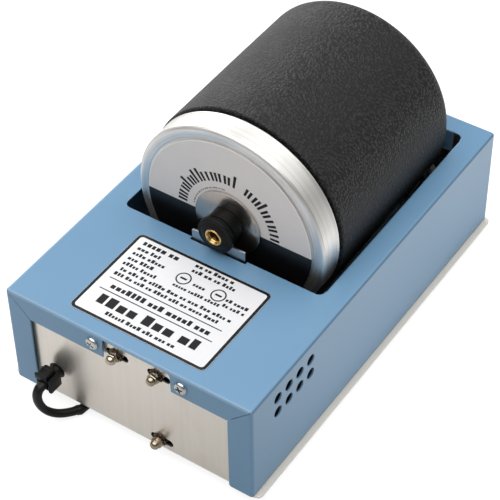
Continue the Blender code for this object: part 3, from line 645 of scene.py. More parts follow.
def make_cover():
    left, right, front, rear = OPENING
    r = 3.5 * MM
    tab_low, tab_high = FRAME_LOW.y - 1.0 * MM, front
    slot_left, slot_right = -17.2 * MM, 16.4 * MM
    bend, step = 1.0 * MM, 0.6 * MM
    lip_x, lip_front, lip_rear = 54.0 * MM, front + r + 2 * step, rear - r - 2 * step
    opening = (
        [(right, lip_front - step), (right + bend, lip_front), (right + bend, lip_rear), (right, lip_rear + step)]
        + arc_points(right - r, rear - r, r, 0, 90, 6)
        + [(lip_x + step, rear), (lip_x, rear + bend), (-lip_x, rear + bend), (-lip_x - step, rear)]
        + arc_points(left + r, rear - r, r, 90, 180, 6)
        + arc_points(left + r, front + r, r, 180, 270, 6)
        + rounded(
            [
                (slot_left, tab_high, 0.3 * MM),
                (slot_left, tab_low, 0.5 * MM),
                (slot_right, tab_low, 0.5 * MM),
                (slot_right, tab_high, 0.3 * MM),
            ],
            0.4 * MM,
        )
        + arc_points(right - r, front + r, r, 270, 360, 6)
    )
    holes = [opening]
    for side in (-1, 1):
        for y in (-66.6, -76.2, -85.7, -95.3):
            for z in (52.5, 42.8):
                u = unfolded(TOP_Z - FLOOR_Z - z * MM, HALF_W, COVER_BEND)
                holes.append(disc(side * u, y * MM, VENT_R))
    form = sheet_form([cover_outline(), *holes], COVER_SHEET, 0.14 * MM)
    slice_form(form, 0, fold_lines(HALF_W, COVER_BEND))
    slice_form(form, 1, fold_lines(HALF_L, COVER_BEND))
    for vert in form.verts:
        u, v, z = vert.co
        y, depth = fold(v, -z, HALF_L, COVER_BEND)
        x, depth = fold(u, depth, HALF_W, COVER_BEND)
        vert.co = (x, y, TOP_Z - depth)
    weighted(link("cover_shell", mesh_from(form, "cover_shell"), "base", "cover", finish=BLUE))

    def lip(drop):
        """The section of the edge turned down into the opening: (distance out from the edge, height)."""
        outer = arc_points(bend, -bend, bend, 90, 180, 6)
        inner = arc_points(bend, -bend, bend - COVER_SHEET, 180, 90, 3)
        return outer + [(0.0, -drop), (COVER_SHEET, -drop)] + inner

    side = [(right + out, TOP_Z + up) for out, up in lip(8.0 * MM)]
    back = [(rear + out, TOP_Z + up) for out, up in lip(14.0 * MM)]
    forms = [
        prism([[(x, y, z) for x, z in side] for y in (lip_front, lip_rear)]),
        prism([[(x, y, z) for y, z in back] for x in (-lip_x, lip_x)]),
    ]
    weighted(link("opening_lips", merged("opening_lips", forms), "base", finish=BLUE))


# ------------------------------------------------------------------ pan

PAN_SHEET = 1.0 * MM
PAN_BEND = 1.4 * MM
PLATE_Y = 115.4 * MM
PLATE_X = 71.7 * MM


def make_pan():
    """The pan's flat pattern, folded up into its two end plates."""
    wall = unfolded(PAN_HIGH.z - PAN_LOW.z, PLATE_Y, PAN_BEND)
    start = PLATE_Y - PAN_BEND
    lip = PAN_HIGH.x
    relief = 0.4 * MM
    lip_front, lip_rear = 116.2 * MM, PAN_HIGH.y
    corner = 3.0 * MM
    outline = []
    for side, end, order in ((1, 1, 1), (1, -1, -1), (-1, -1, 1), (-1, 1, -1)):
        reach = lip_rear if end > 0 else lip_front
        run = [
            (side * (PLATE_X - 1.5 * MM), end * wall),
            (side * PLATE_X, end * (wall - 1.5 * MM)),
            (side * PLATE_X, end * start),
            (side * (PLATE_X + relief), end * start),
            (side * (PLATE_X + relief), end * reach),
            (side * (lip - corner), end * reach),
            (side * (lip - 0.3 * corner), end * (reach - 0.3 * corner)),
            (side * lip, end * (reach - corner)),
        ]
        outline += run[::order]
    holes = []
    for x, z in ((-6.5, 53.0), (18.3, 53.0), (17.6, 5.3)):
        v = unfolded((z + 8.0) * MM - PAN_LOW.z, PLATE_Y, PAN_BEND)
        holes.append(round_rect((x - 6.75) * MM, (x + 6.75) * MM, -v - 2.35 * MM, -v + 2.35 * MM, 2.34 * MM, 8))
    bushing = middle("strain_relief")
    v = unfolded(bushing.z - PAN_LOW.z, PLATE_Y, PAN_BEND)
    holes.append(disc(bushing.x, -v, 4.7 * MM, 32))
    form = sheet_form([outline, *holes], PAN_SHEET, 0.15 * MM)
    slice_form(form, 1, fold_lines(PLATE_Y, PAN_BEND))
    slice_form(form, 0, (-PLATE_X - relief / 2, PLATE_X + relief / 2))
    for vert in form.verts:
        u, v, z = vert.co
        depth = -z
        y = v
        if abs(u) < PLATE_X + relief / 2:
            y, depth = fold(v, depth, PLATE_Y, PAN_BEND)
        vert.co = (u, y, PAN_LOW.z + depth)
    weighted(link("base_pan_shell", mesh_from(form, "base_pan_shell"), "base", "base_pan", finish=SHEET))


# ------------------------------------------------------------------ barrel and lids


def make_barrel():
    front = -12.4 * MM
    neck_r, neck_front = 54.0 * MM, -22.8 * MM
    wall = 7.5 * MM
    rear = BARREL_HIGH.y
    seat_r, mouth_r, seat_y = 46.2 * MM, 42.0 * MM, -15.2 * MM
    rows = 70
    body = []
    for k in range(rows + 1):
        body.append((BARREL_R, front + 1.2 * MM + (rear - 10.0 * MM - front - 1.2 * MM) * (1 - k / rows)))
    outer = (
        [(0.0, rear - 1.6 * MM), (22.0 * MM, rear - 1.5 * MM), (24.0 * MM, rear - 0.2 * MM), (26.0 * MM, rear)]
        + arc_points(BARREL_R - 10.0 * MM, rear - 10.0 * MM, 10.0 * MM, 90, 8, 10)
        + body
        + arc_points(BARREL_R - 1.2 * MM, front + 1.2 * MM, 1.2 * MM, -15, -90, 4)
    )
    inner = rounded(
        [
            (neck_r, front, 0.4 * MM),
            (neck_r, neck_front, 0.8 * MM),
            (seat_r, neck_front, 0.8 * MM),
            (seat_r, seat_y, 0.3 * MM),
            (mouth_r, seat_y, 0.8 * MM),
            (mouth_r, seat_y + 3.0 * MM, 1.0 * MM),
            (BARREL_R - wall, seat_y + 10.5 * MM, 2.0 * MM),
            (BARREL_R - wall, rear - wall, 7.0 * MM),
            (0.0, rear - wall),
        ],
        0.5 * MM,
        steps=5,
    )

    def swell(angle, y, radius):
        if radius < BARREL_R - 0.5 * MM:
            return 0.0
        wave = math.sin(5 * angle + 41 * y) + 0.6 * math.sin(9 * angle - 67 * y + 1.3)
        return 0.05 * MM * wave * min(1.0, (y - front) / (6 * MM))

    form = lathe_form(outer + inner, 256, False, swell)
    bmesh.ops.translate(form, verts=form.verts, vec=tuple(AXIS))
    link("barrel_rubber", mesh_from(form, "barrel_rubber", 50), "barrel", "tumbling_barrel", finish=GRAIN_RUBBER)


def make_lid():
    low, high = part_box("outer_lid")
    rim, face = high.y, low.y
    sheet = 1.0 * MM
    rim_r = radius_of("outer_lid")
    round_r, round_y, turn = 53.4 * MM, face + 2.5 * MM, 2.5 * MM
    outside = (
        [(rim_r - 0.7 * MM, rim), (rim_r, rim - 0.5 * MM), (rim_r, rim - 1.3 * MM), (rim_r - 0.35 * MM, rim - 1.9 * MM)]
        + [(rim_r - 0.35 * MM, rim - 5.5 * MM), (rim_r - 0.45 * MM, round_y - 0.9 * MM)]
        + arc_points(round_r, round_y, turn, -8, -84, 12)
        + [(50.4 * MM, face), (49.9 * MM, face + 0.30 * MM), (49.4 * MM, face + 0.30 * MM), (49.1 * MM, face)]
    )
    inside = (
        [(3.5 * MM, face), (3.5 * MM, face + sheet), (49.0 * MM, face + sheet)]
        + arc_points(round_r, round_y, turn - sheet, -88, -4, 6)
        + [(rim_r - 1.25 * MM, rim - 6.0 * MM), (rim_r - 1.2 * MM, rim)]
    )
    lathe(
        "lid_shell", outside + inside, AXIS, "outer_lid", "outer_lid",
        finish=SPUN, steps=256, closed=True, round_by=0.12 * MM,
    )

    label_low, label_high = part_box("lid_label")
    label_r = radius_of("lid_label")
    label_front = label_low.y
    half_disc("disc_upper", label_r, 3.6 * MM, label_high.y, label_front, 0.0, 180.0, DISC_GREY)
    half_disc("disc_lower", label_r, 3.6 * MM, label_high.y, label_front, 180.0, 360.0, DISC_BLACK, "lid_label")
    make_disc_print(label_front, label_r)

    washer_low, washer_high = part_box("hub_washer")
    washer_r = radius_of("hub_washer")
    lathe(
        "hub_washer_fine",
        [(5.0 * MM, washer_high.y), (washer_r, washer_high.y), (washer_r, washer_low.y),
         (3.5 * MM, washer_low.y), (3.5 * MM, washer_high.y)],
        AXIS, "outer_lid", "hub_washer", finish=WASHER, steps=160, closed=True, round_by=0.2 * MM,
    )

    inner_low, inner_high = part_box("inner_lid")
    seat = 45.7 * MM
    lathe(
        "inner_lid_fine",
        [(seat, inner_high.y), (seat, inner_low.y), (40.0 * MM, inner_low.y), (38.5 * MM, inner_low.y + 0.5 * MM),
         (16.0 * MM, inner_low.y + 0.5 * MM), (14.5 * MM, inner_low.y), (3.3 * MM, inner_low.y),
         (3.3 * MM, inner_high.y)],
        AXIS, "inner_lid", "inner_lid", finish=SPUN, steps=160, closed=True, round_by=0.4 * MM,
    )
    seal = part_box("barrel_seal")
    lathe(
        "seal_ring", tube(45.9 * MM, 42.0 * MM, seal[1].y, seal[0].y), AXIS, "barrel_carrier", "barrel_seal",
        finish=RUBBER, steps=160, closed=True, round_by=0.25 * MM,
    )


def half_disc(name, outer, inner, rear, front, start, end, finish, *nodes):
    """Half of the ring-shaped disc label, closed and thin."""
    form = bmesh.new()
    steps = 96
    rows = []
    for k in range(steps + 1):
        angle = math.radians(start + (end - start) * k / steps)
        rows.append(
            [
                form.verts.new((AXIS.x + r * math.cos(angle), y, AXIS.z + r * math.sin(angle)))
                for r, y in ((outer, rear), (outer, front), (inner, front), (inner, rear))
            ]
        )
    for a, b in zip(rows, rows[1:]):
        for i in range(4):
            j = (i + 1) % 4
            form.faces.new((a[i], a[j], b[j], b[i]))
    form.faces.new(rows[0])
    form.faces.new(rows[-1])
    link(name, mesh_from(form, name, 30), "outer_lid", *nodes, finish=finish)


def arc_patch(low_r, high_r, start, end, rear, front, steps=6):
    """A thin raised patch of ink between two radii and two angles."""
    form = bmesh.new()
    rows = []
    for k in range(steps + 1):
        angle = math.radians(start + (end - start) * k / steps)
        rows.append(
            [
                form.verts.new((AXIS.x + r * math.cos(angle), y, AXIS.z + r * math.sin(angle)))
                for r, y in ((high_r, rear), (high_r, front), (low_r, front), (low_r, rear))
            ]
        )
    for a, b in zip(rows, rows[1:]):
        for i in range(4):
            j = (i + 1) % 4
            form.faces.new((a[i], a[j], b[j], b[i]))
    form.faces.new(rows[0])
    form.faces.new(rows[-1])
    return form


def make_disc_print(front, label_r):
    """Plain radial strokes, like tally marks, in place of the disc's lettering, and the disc's pale edge."""
    ink_front = front - 0.03 * MM
    edge = merged("disc_edge", [arc_patch(label_r - 0.75 * MM, label_r - 0.05 * MM, 0, 180, front, ink_front, 96)], 30)
    link("disc_edge", edge, "outer_lid", finish=DISC_PALE)
    rng = random.Random(11)
    low, tall, short = 25.0 * MM, 33.0 * MM, 30.4 * MM
    stroke = 3.0
    forms = []
    for start, end in ((177.0, 79.0), (68.0, 5.0)):
        angle = start
        while angle > end:
            strokes = rng.choice((1, 2, 2, 3))
            for k in range(strokes):
                high = tall if rng.random() < 0.3 else short
                forms.append(arc_patch(low, high, angle, angle - stroke, front, ink_front, 3))
                angle -= stroke + 1.9
            angle -= 1.5
    link("disc_marks", merged("disc_marks", forms, 30), "outer_lid", finish=LABEL_INK)
    fine = []
    angle = 172.0
    while angle > 98.0:
        width = rng.uniform(3.0, 10.0)
        fine.append(arc_patch(20.5 * MM, 21.3 * MM, angle, angle - width, front, ink_front))
        angle -= width + 1.6
    link("disc_fine_marks", merged("disc_fine_marks", fine, 30), "outer_lid", finish=DISC_FAINT)


def make_knob():
    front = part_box("knob")[0].y
    head_r, body_r, groove_r, bore_r = radius_of("knob"), 9.3 * MM, 8.5 * MM, 4.95 * MM
    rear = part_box("hub_washer")[0].y - 0.03 * MM
    groove_rear, groove_front = front + 4.5 * MM, front + 2.7 * MM
    lathe(
        "knob_body",
        [(body_r, rear), (body_r, groove_rear), (groove_r, groove_rear, 0.1 * MM), (groove_r, groove_front, 0.1 * MM),
         (head_r, groove_front), (head_r, front, 0.9 * MM), (8.4 * MM, front), (5.7 * MM, front - 1.2 * MM, 0.5 * MM),
         (bore_r, front - 1.2 * MM), (bore_r, rear)],
        AXIS, "knob", "knob", finish=KNOB_BLACK, steps=128, closed=True, round_by=0.3 * MM,
    )
    insert_low, insert_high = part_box("knob_insert")
    insert_r = radius_of("knob_insert")
    bore = 3.2 * MM
    pitch = 1.27 * MM
    thread = []
    y = insert_low.y + 1.3 * MM
    while y < insert_high.y - pitch:
        thread += [(bore + 0.45 * MM, y), (bore, y + pitch / 2)]
        y += pitch
    profile = (
        [(insert_r, insert_high.y), (insert_r, insert_low.y + 0.35 * MM), (insert_r - 0.35 * MM, insert_low.y),
         (bore + 0.9 * MM, insert_low.y), (bore + 0.2 * MM, insert_low.y + 0.8 * MM)]
        + thread
        + [(bore + 0.2 * MM, insert_high.y)]
    )
    lathe(
        "knob_insert_fine", profile, AXIS, "knob_thread", "knob_insert",
        finish=BRASS, steps=96, closed=True, round_by=0.1 * MM,
    )
    stud_low, stud_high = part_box("lid_stud")
    core, crest = 2.55 * MM, 3.0 * MM
    rows = []
    y = stud_high.y - 3.5 * MM
    while y > stud_low.y + 1.4 * MM:
        rows += [(crest, y), (core, y - pitch / 2)]
        y -= pitch
    profile = (
        [(0.0, stud_high.y), (5.6 * MM, stud_high.y), (6.0 * MM, stud_high.y - 0.4 * MM),
         (6.0 * MM, stud_high.y - 2.5 * MM), (crest, stud_high.y - 2.5 * MM)]
        + rows
        + [(2.2 * MM, stud_low.y), (0.0, stud_low.y)]
    )
    lathe("lid_stud_fine", profile, AXIS, "inner_lid", "lid_stud", finish=DARK_STEEL, steps=64, round_by=0.08 * MM)


# ------------------------------------------------------------------ label on the cover


def make_label():
    low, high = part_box("rating_label")
    outline = (low.x - 0.5 * MM, high.x + 0.5 * MM, low.y - 1.9 * MM, high.y + 0.6 * MM)
    base = sheet_form([round_rect(*outline, 3.0 * MM, 10)], 0.25 * MM, 0.04 * MM)
    top = TOP_Z + 0.30 * MM
    bmesh.ops.translate(base, verts=base.verts, vec=(0, 0, top))
    link("label_film", mesh_from(base, "label_film", 30), "base", "rating_label", finish=LABEL_WHITE)
    ink = 0.03 * MM

    def inner(inset, radius):
        return round_rect(outline[0] + inset, outline[1] - inset, outline[2] + inset, outline[3] - inset, radius, 10)

    border = [inner(0.1 * MM, 2.9 * MM), inner(1.75 * MM, 1.7 * MM)]
    forms = [sheet_form(border, ink, 0.002 * MM)]
    left = low.x
    front = low.y
    rng = random.Random(4)

    def bar(x0, x1, y0, y1):
        ends = (left + x0 * MM, front + y0 * MM, -ink), (left + x1 * MM, front + y1 * MM, 0.0)
        forms.append(block_form(*ends))

    def words(x0, x1, y, height, longest):
        """Word-long groups of small blocks between x0 and x1."""
        x = x0
        while x < x1 - 1.2:
            end = min(x + rng.uniform(0.35, 1.0) * longest, x1)
            while x < end - 0.3 * height:
                width = rng.uniform(0.50, 0.80) * height
                bar(x, x + width, y, y + height * rng.choice((0.72, 0.72, 1.0)))
                x += width + 0.22 * height
            x += 0.45 * height

    words(5.0, 27.0, 51.4, 3.4, 26.0)
    for y, end in ((47.2, 21.0), (43.2, 24.5), (39.1, 21.5), (35.0, 26.0)):
        words(4.5, end, y, 2.4, 12.0)
    words(36.0, 59.0, 53.0, 2.4, 10.0)
    words(36.5, 64.5, 49.2, 2.4, 9.0)
    words(42.5, 51.0, 41.6, 2.2, 10.0)
    words(34.0, 61.0, 36.4, 2.0, 10.0)
    words(62.0, 75.0, 41.6, 2.2, 8.0)
    words(62.5, 75.5, 37.9, 2.2, 8.0)
    for x, y in ((36.2, 43.2), (57.2, 43.0)):
        ring = [disc(left + x * MM, front + y * MM, r * MM, 40) for r in (4.1, 3.35)]
        forms.append(sheet_form(ring, ink, 0.002 * MM))
        bar(x - 1.9, x + 1.9, y - 0.6, y + 0.6)
    words(6.0, 72.5, 30.8, 2.3, 9.0)
    words(5.0, 67.5, 26.9, 2.3, 9.0)
    bar(4.9, 72.0, 24.0, 24.6)
    words(9.3, 67.5, 18.3, 3.5, 20.0)
    bar(4.9, 72.0, 15.7, 16.3)
    words(9.0, 69.0, 7.0, 6.4, 36.0)
    words(18.0, 60.0, 2.4, 2.4, 14.0)
    mesh = merged("label_print", forms, 30)
    mesh.transform(Matrix.Translation((0, 0, top + ink + 0.002 * MM)))
    link("label_print", mesh, "base", finish=LABEL_INK)


# ------------------------------------------------------------------ fasteners and small parts


def hex_form(across_flats, height, chamfer):
    """A hexagon prism standing on z = 0, its upper edge chamfered to a circle."""
    form = bmesh.new()
    across_corners = across_flats / math.cos(math.pi / 6)
    bmesh.ops.create_cone(
        form,
        cap_ends=True,
        segments=6,
        radius1=across_corners / 2,
        radius2=across_corners / 2,
        depth=height,
        matrix=Matrix.Translation((0, 0, height / 2)),
    )
    bmesh.ops.bevel(form, geom=form.edges[:], offset=chamfer, segments=2, profile=0.5, affect="EDGES")
    return form


def toward_front(form, at):
    """Turns a form that stands on z = 0 so that it stands out of a face towards -Y."""
    turn = Matrix.Translation(at) @ Matrix.Rotation(math.radians(90), 4, "X")
    bmesh.ops.transform(form, matrix=turn, verts=form.verts)
    return form


def dome_form(radius, height, base, steps=32):
    """A dome on the Z axis: a short cylinder with a rounded top."""
    form = bmesh.new()
    profile = [(radius, base), (radius, base + 0.3 * height)]
    profile += [
        (radius * math.cos(math.radians(a)), base + 0.3 * height + 0.7 * height * math.sin(math.radians(a)))
        for a in (15, 30, 45, 60, 75)
    ]
    rings = [
        [form.verts.new((r * math.cos(TAU * i / steps), r * math.sin(TAU * i / steps), z)) for i in range(steps)]
        for r, z in profile
    ]
    for low, high in zip(rings, rings[1:]):
        for i in range(steps):
            j = (i + 1) % steps
            form.faces.new((low[i], low[j], high[j], high[i]))
    form.faces.new(rings[0])
    form.faces.new(rings[-1])
    return form


def toothed_form(outer, inner, thickness, teeth):
    """A lock washer with outside teeth, standing on z = 0."""
    steps = teeth * 4
    loop = []
    for k in range(steps):
        angle = TAU * k / steps
        r = outer if k % 4 in (0, 1) else outer - 0.9 * MM
        loop.append((r * math.cos(angle), r * math.sin(angle)))
    form = sheet_form([loop, disc(0, 0, inner, 24)], thickness, 0.05 * MM)
    bmesh.ops.translate(form, verts=form.verts, vec=(0, 0, thickness))
    return form


def make_nuts():
    for number in (1, 2, 3):
        nut_low, nut_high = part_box(f"acorn_nut_{number}")
        at = (nut_low + nut_high) / 2
        rear = nut_high.y
        hexagon = toward_front(hex_form(5.6 * MM, 2.6 * MM, 0.25 * MM), (at.x, rear, at.z))
        dome = toward_front(dome_form(2.55 * MM, 3.2 * MM, 2.3 * MM), (at.x, rear, at.z))
        turn = Matrix.Rotation(math.radians(12 + 17 * number), 4, "Y")
        center = Matrix.Translation(at)
        bmesh.ops.transform(hexagon, matrix=center @ turn @ center.inverted(), verts=hexagon.verts)
        mesh = merged(f"acorn_nut_fine_{number}", [hexagon, dome], 30)
        link(f"acorn_nut_fine_{number}", mesh, "base", f"acorn_nut_{number}", finish=NICKEL)
        washer_low, washer_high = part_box(f"toothed_washer_{number}")
        form = toward_front(toothed_form(4.0 * MM, 2.4 * MM, 0.7 * MM, 10), (at.x, washer_high.y, at.z))
        mesh = mesh_from(form, f"toothed_washer_fine_{number}")
        link(f"toothed_washer_fine_{number}", mesh, "base", f"toothed_washer_{number}", finish=BRONZED)


def make_screws():
    """Pan-head screws with a cross recess, as one closed form each."""
    for number in (1, 2, 3, 4):
        low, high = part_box(f"cover_screw_{number}")
        front = middle(f"cover_screw_{number}").y < 0
        x, z = (low.x + high.x) / 2 - 0.4 * MM, (low.z + high.z) / 2 - 1.0 * MM
        form = bmesh.new()
        steps = 48
        head = 2.1 * MM
        profile = [(1.5, -7.4), (1.5, 0.0), (3.6, 0.0), (3.65, 0.35), (3.6, 0.85), (3.35, 1.35), (2.9, 1.75), (2.2, 2.02)]
        rings = [
            [
                form.verts.new((r * MM * math.cos(TAU * i / steps), r * MM * math.sin(TAU * i / steps), h * MM))
                for i in range(steps)
            ]
            for r, h in profile
        ]
        for a, b in zip(rings, rings[1:]):
            for i in range(steps):
                j = (i + 1) % steps
                form.faces.new((a[i], a[j], b[j], b[i]))
        form.faces.new(rings[0])
        form.faces.new(rings[-1])
        mesh = mesh_from(form, f"cover_screw_fine_{number}", 40)
        piece = link(f"cover_screw_fine_{number}", mesh, "base", f"cover_screw_{number}", finish=PLATED)
        cross = merged(
            "cross_recess",
            [
                block_form((-2.1 * MM, -0.5 * MM, head - 1.6 * MM), (2.1 * MM, 0.5 * MM, head + MM)),
            ],
        )
        cross_other = merged(
            "cross_recess",
            [
                block_form((-0.5 * MM, -2.1 * MM, head - 1.6 * MM), (0.5 * MM, 2.1 * MM, head + MM)),
            ],
        )
        cut_with(piece, cross, cross_other)
        turn = Matrix.Rotation(math.radians(90 if front else -90), 4, "X")
        spin = Matrix.Rotation(math.radians(25 + 40 * number), 4, "Z")
        face_y = high.y - 7.5 * MM if front else low.y + 7.5 * MM
        piece.data.transform(Matrix.Translation((x, face_y, z)) @ turn @ spin)


def cut_with(piece, *meshes):
    """Cuts closed meshes out of a piece and keeps the result in its mesh."""
    helpers = []
    for mesh in meshes:
        helper = bpy.data.objects.new("cutter", mesh)
        bpy.context.scene.collection.objects.link(helper)
        helpers.append(helper)
        step = piece.modifiers.new("Cut", "BOOLEAN")
        step.operation = "DIFFERENCE"
        step.solver = "EXACT"
        step.object = helper
    bpy.context.view_layer.update()
    graph = bpy.context.evaluated_depsgraph_get()
    fresh = bpy.data.meshes.new_from_object(piece.evaluated_get(graph))
    piece.modifiers.clear()
    old = piece.data
    piece.data = fresh
    fresh.name = old.name
    smooth(fresh, 40)
    for helper in helpers:
        bpy.data.objects.remove(helper)


def catmull(knots, per_span):
    padded = [knots[0], *knots, knots[-1]]
    points = []
    for a, b, c, d in zip(padded, padded[1:], padded[2:], padded[3:]):
        for i in range(per_span):
            t = i / per_span
            points.append(
                0.5 * (2 * b + (c - a) * t + (2 * a - 5 * b + 4 * c - d) * t * t + (3 * b - a - 3 * c + d) * t**3)
            )
    points.append(knots[-1])
    return points


def sweep(points, section, up=Vector((1, 0, 0))):
    """Sweeps a closed section, given in (side, up) pairs, along a path with a steady frame."""
    form = bmesh.new()
    rings = []
    side = None
    for i, point in enumerate(points):
        ahead = points[min(i + 1, len(points) - 1)] - points[max(i - 1, 0)]
        ahead.normalize()
        side = up if side is None else side
        side = (side - ahead * side.dot(ahead)).normalized()
        over = ahead.cross(side)
        rings.append([form.verts.new(point + side * a + over * b) for a, b in section])
    for low, high in zip(rings, rings[1:]):
        for i in range(len(section)):
            j = (i + 1) % len(section)
            form.faces.new((low[i], low[j], high[j], high[i]))
    form.faces.new(rings[0])
    form.faces.new(rings[-1])
    return form


def twin_section(half, radius, steps=10):
    """The section of a flat twin cord: two round cores side by side with a shallow groove between."""
    loop = []
    for side, start in ((1, -80), (-1, 100)):
        for k in range(steps + 1):
            angle = math.radians(start + 160 * k / steps)
            loop.append((side * half + radius * math.cos(angle), radius * math.sin(angle)))
    return loop


def make_cord():
    """The cord along a path through listed points from the strain relief to the plug, as a flat twin cord."""
    low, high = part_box("power_cord")
    bushing = middle("strain_relief")
    x, z = bushing.x, bushing.z
    ground = 2.8 * MM
    plug_low, plug_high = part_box("plug_body")
    plug_y = (plug_low.y + plug_high.y) / 2
    plug_z = (plug_low.z + plug_high.z) / 2
    knots = [
        (x, -0.1060, z),
        (x, -0.1180, z),
        (x, -0.1268, z),
        (-0.0476, -0.1297, 0.0235),
        (-0.0480, -0.1311, 0.0195),
        (-0.0473, -0.1309, 0.0140),
        (-0.0452, -0.1290, 0.0086),
        (-0.0414, -0.1255, 0.0052),
        (-0.0376, -0.1205, 0.0035),
        (-0.0352, -0.1155, ground),
        (-0.0330, -0.1050, ground),
        (-0.0250, 0.0, ground),
        (-0.0140, 0.1000, ground),
        (-0.0060, 0.1180, ground),
        (0.0030, 0.1250, ground + 0.0035),
        (plug_low.x - 0.0060, plug_y, plug_z - 0.0004),
        (plug_low.x - 0.0015, plug_y, plug_z),
        (plug_low.x + 0.0045, plug_y, plug_z),
    ]
    path = catmull([Vector(k) for k in knots], 8)
    form = sweep(path, twin_section(0.55 * MM, 2.15 * MM), Vector((1, 0, 0)))
    link("power_cord_twin", mesh_from(form, "power_cord_twin", 50), "base", "power_cord", finish=CORD)


def make_bushing():
    """The snap-in strain relief: a ring in the plate and two ribbed jaws in front of it that clamp the cord."""
    low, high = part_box("strain_relief")
    at = (low + high) / 2
    front, rear = low.y, high.y
    plate = -PLATE_Y
    bore = 2.75 * MM
    neck = lathe_form(
        rounded(
            [(6.0 * MM, rear), (7.2 * MM, plate + PAN_SHEET + 0.3 * MM), (4.4 * MM, plate + PAN_SHEET + 0.3 * MM),
             (4.4 * MM, plate - 0.2 * MM), (3.4 * MM, plate - 0.2 * MM), (3.4 * MM, plate - 4.0 * MM),
             (bore, plate - 4.0 * MM), (bore, rear)],
            0.2 * MM,
            True,
        ),
        48,
        True,
    )
    bmesh.ops.translate(neck, verts=neck.verts, vec=(at.x, 0.0, at.z))
    forms = [neck]

    def jaw(x0, x1, z0, z1, y0, y1, edge):
        ends = (at.x + x0 * MM, y0, at.z + z0 * MM), (at.x + x1 * MM, y1, at.z + z1 * MM)
        form = block_form(*ends)
        bmesh.ops.bevel(
            form, geom=form.edges[:], offset=edge * MM, segments=3, profile=0.5, affect="EDGES", clamp_overlap=True
        )
        forms.append(form)

    back = plate - 3.0 * MM
    jaw(-4.6, 2.3, 2.5, 5.6, front + 1.0 * MM, back, 1.3)
    jaw(-4.9, 2.6, 2.4, 6.1, front + 0.1 * MM, front + 1.4 * MM, 0.55)
    jaw(-4.6, 2.2, 2.6, 5.95, back - 3.6 * MM, back - 2.4 * MM, 0.5)
    jaw(-4.7, -2.6, -3.4, 3.4, front + 0.6 * MM, back, 0.7)
    jaw(-3.4, 3.8, -4.0, -2.4, front + 0.8 * MM, back, 0.6)
    jaw(3.0, 5.2, -4.3, 3.7, front + 0.2 * MM, back, 0.6)
    jaw(3.5, 4.3, 3.0, 4.3, front + 0.6 * MM, back, 0.3)
    jaw(2.1, 3.4, -3.4, 2.9, front + 1.4 * MM, back, 0.2)
    link("strain_relief_fine", merged("strain_relief_fine", forms), "base", "strain_relief", finish=BLACK)


def make_plug():
    low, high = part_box("plug_body")
    center = (low + high) / 2
    form = bmesh.new()
    stations = [(0.0, 0.42), (0.10, 0.55), (0.22, 0.72), (0.32, 0.95), (0.40, 1.0), (0.94, 1.0), (1.0, 0.93)]
    half_y, half_z = (high.y - low.y) / 2, (high.z - low.z) / 2
    rings = []
    for t, size in stations:
        x = low.x + (high.x - low.x) * t
        ring = [
            form.verts.new((x, center.y + a, center.z + b))
            for a, b in round_rect(-half_y * size, half_y * size, -half_z * size, half_z * size, 2.6 * MM * size, 4)
        ]
        rings.append(ring)
    for a, b in zip(rings, rings[1:]):
        for i in range(len(a)):
            j = (i + 1) % len(a)
            form.faces.new((a[i], a[j], b[j], b[i]))
    form.faces.new(rings[0])
    form.faces.new(rings[-1])
    link("plug_moulding", mesh_from(form, "plug_moulding", 45), "base", "plug_body", finish=BLACK)
    for number in (1, 2):
        blade_low, blade_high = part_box(f"plug_blade_{number}")
        mid = (blade_low + blade_high) / 2
        tip = blade_high.x
        outline = [
            (blade_low.x + 0.0048, mid.y - 3.15 * MM),
            (tip - 1.5 * MM, mid.y - 3.15 * MM),
            (tip, mid.y - 1.8 * MM),
            (tip, mid.y + 1.8 * MM),
            (tip - 1.5 * MM, mid.y + 3.15 * MM),
            (blade_low.x + 0.0048, mid.y + 3.15 * MM),
        ]
        hole = disc(tip - 3.6 * MM, mid.y, 1.6 * MM, 20)
        form = sheet_form([outline, hole], 1.4 * MM, 0.12 * MM)
        bmesh.ops.translate(form, verts=form.verts, vec=(0, 0, mid.z + 0.7 * MM))
        mesh = mesh_from(form, f"plug_blade_fine_{number}")
        link(f"plug_blade_fine_{number}", mesh, "base", f"plug_blade_{number}", finish=BRASS)


def make_feet():
    for number in (1, 2, 3, 4):
        low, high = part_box(f"foot_{number}")
        at = (low + high) / 2
        top = PAN_LOW.z
        form = lathe_form(
            rounded(
                [(0.0, high.z), (2.4 * MM, high.z), (4.2 * MM, top + PAN_SHEET + 0.3 * MM),
                 (2.7 * MM, top + PAN_SHEET + 0.3 * MM), (2.7 * MM, top - 0.1 * MM), (8.0 * MM, top - 0.1 * MM),
                 (7.4 * MM, 0.0), (3.6 * MM, 0.0), (3.2 * MM, 1.5 * MM), (0.0, 1.5 * MM)],
                0.5 * MM,
            ),
            64,
        )
        turn = Matrix.Translation((at.x, at.y, 0)) @ Matrix.Rotation(math.radians(90), 4, "X")
        bmesh.ops.transform(form, matrix=turn, verts=form.verts)
        link(f"foot_fine_{number}", mesh_from(form, f"foot_fine_{number}"), "base", f"foot_{number}", finish=RUBBER)


# ------------------------------------------------------------------ roller frame and drive


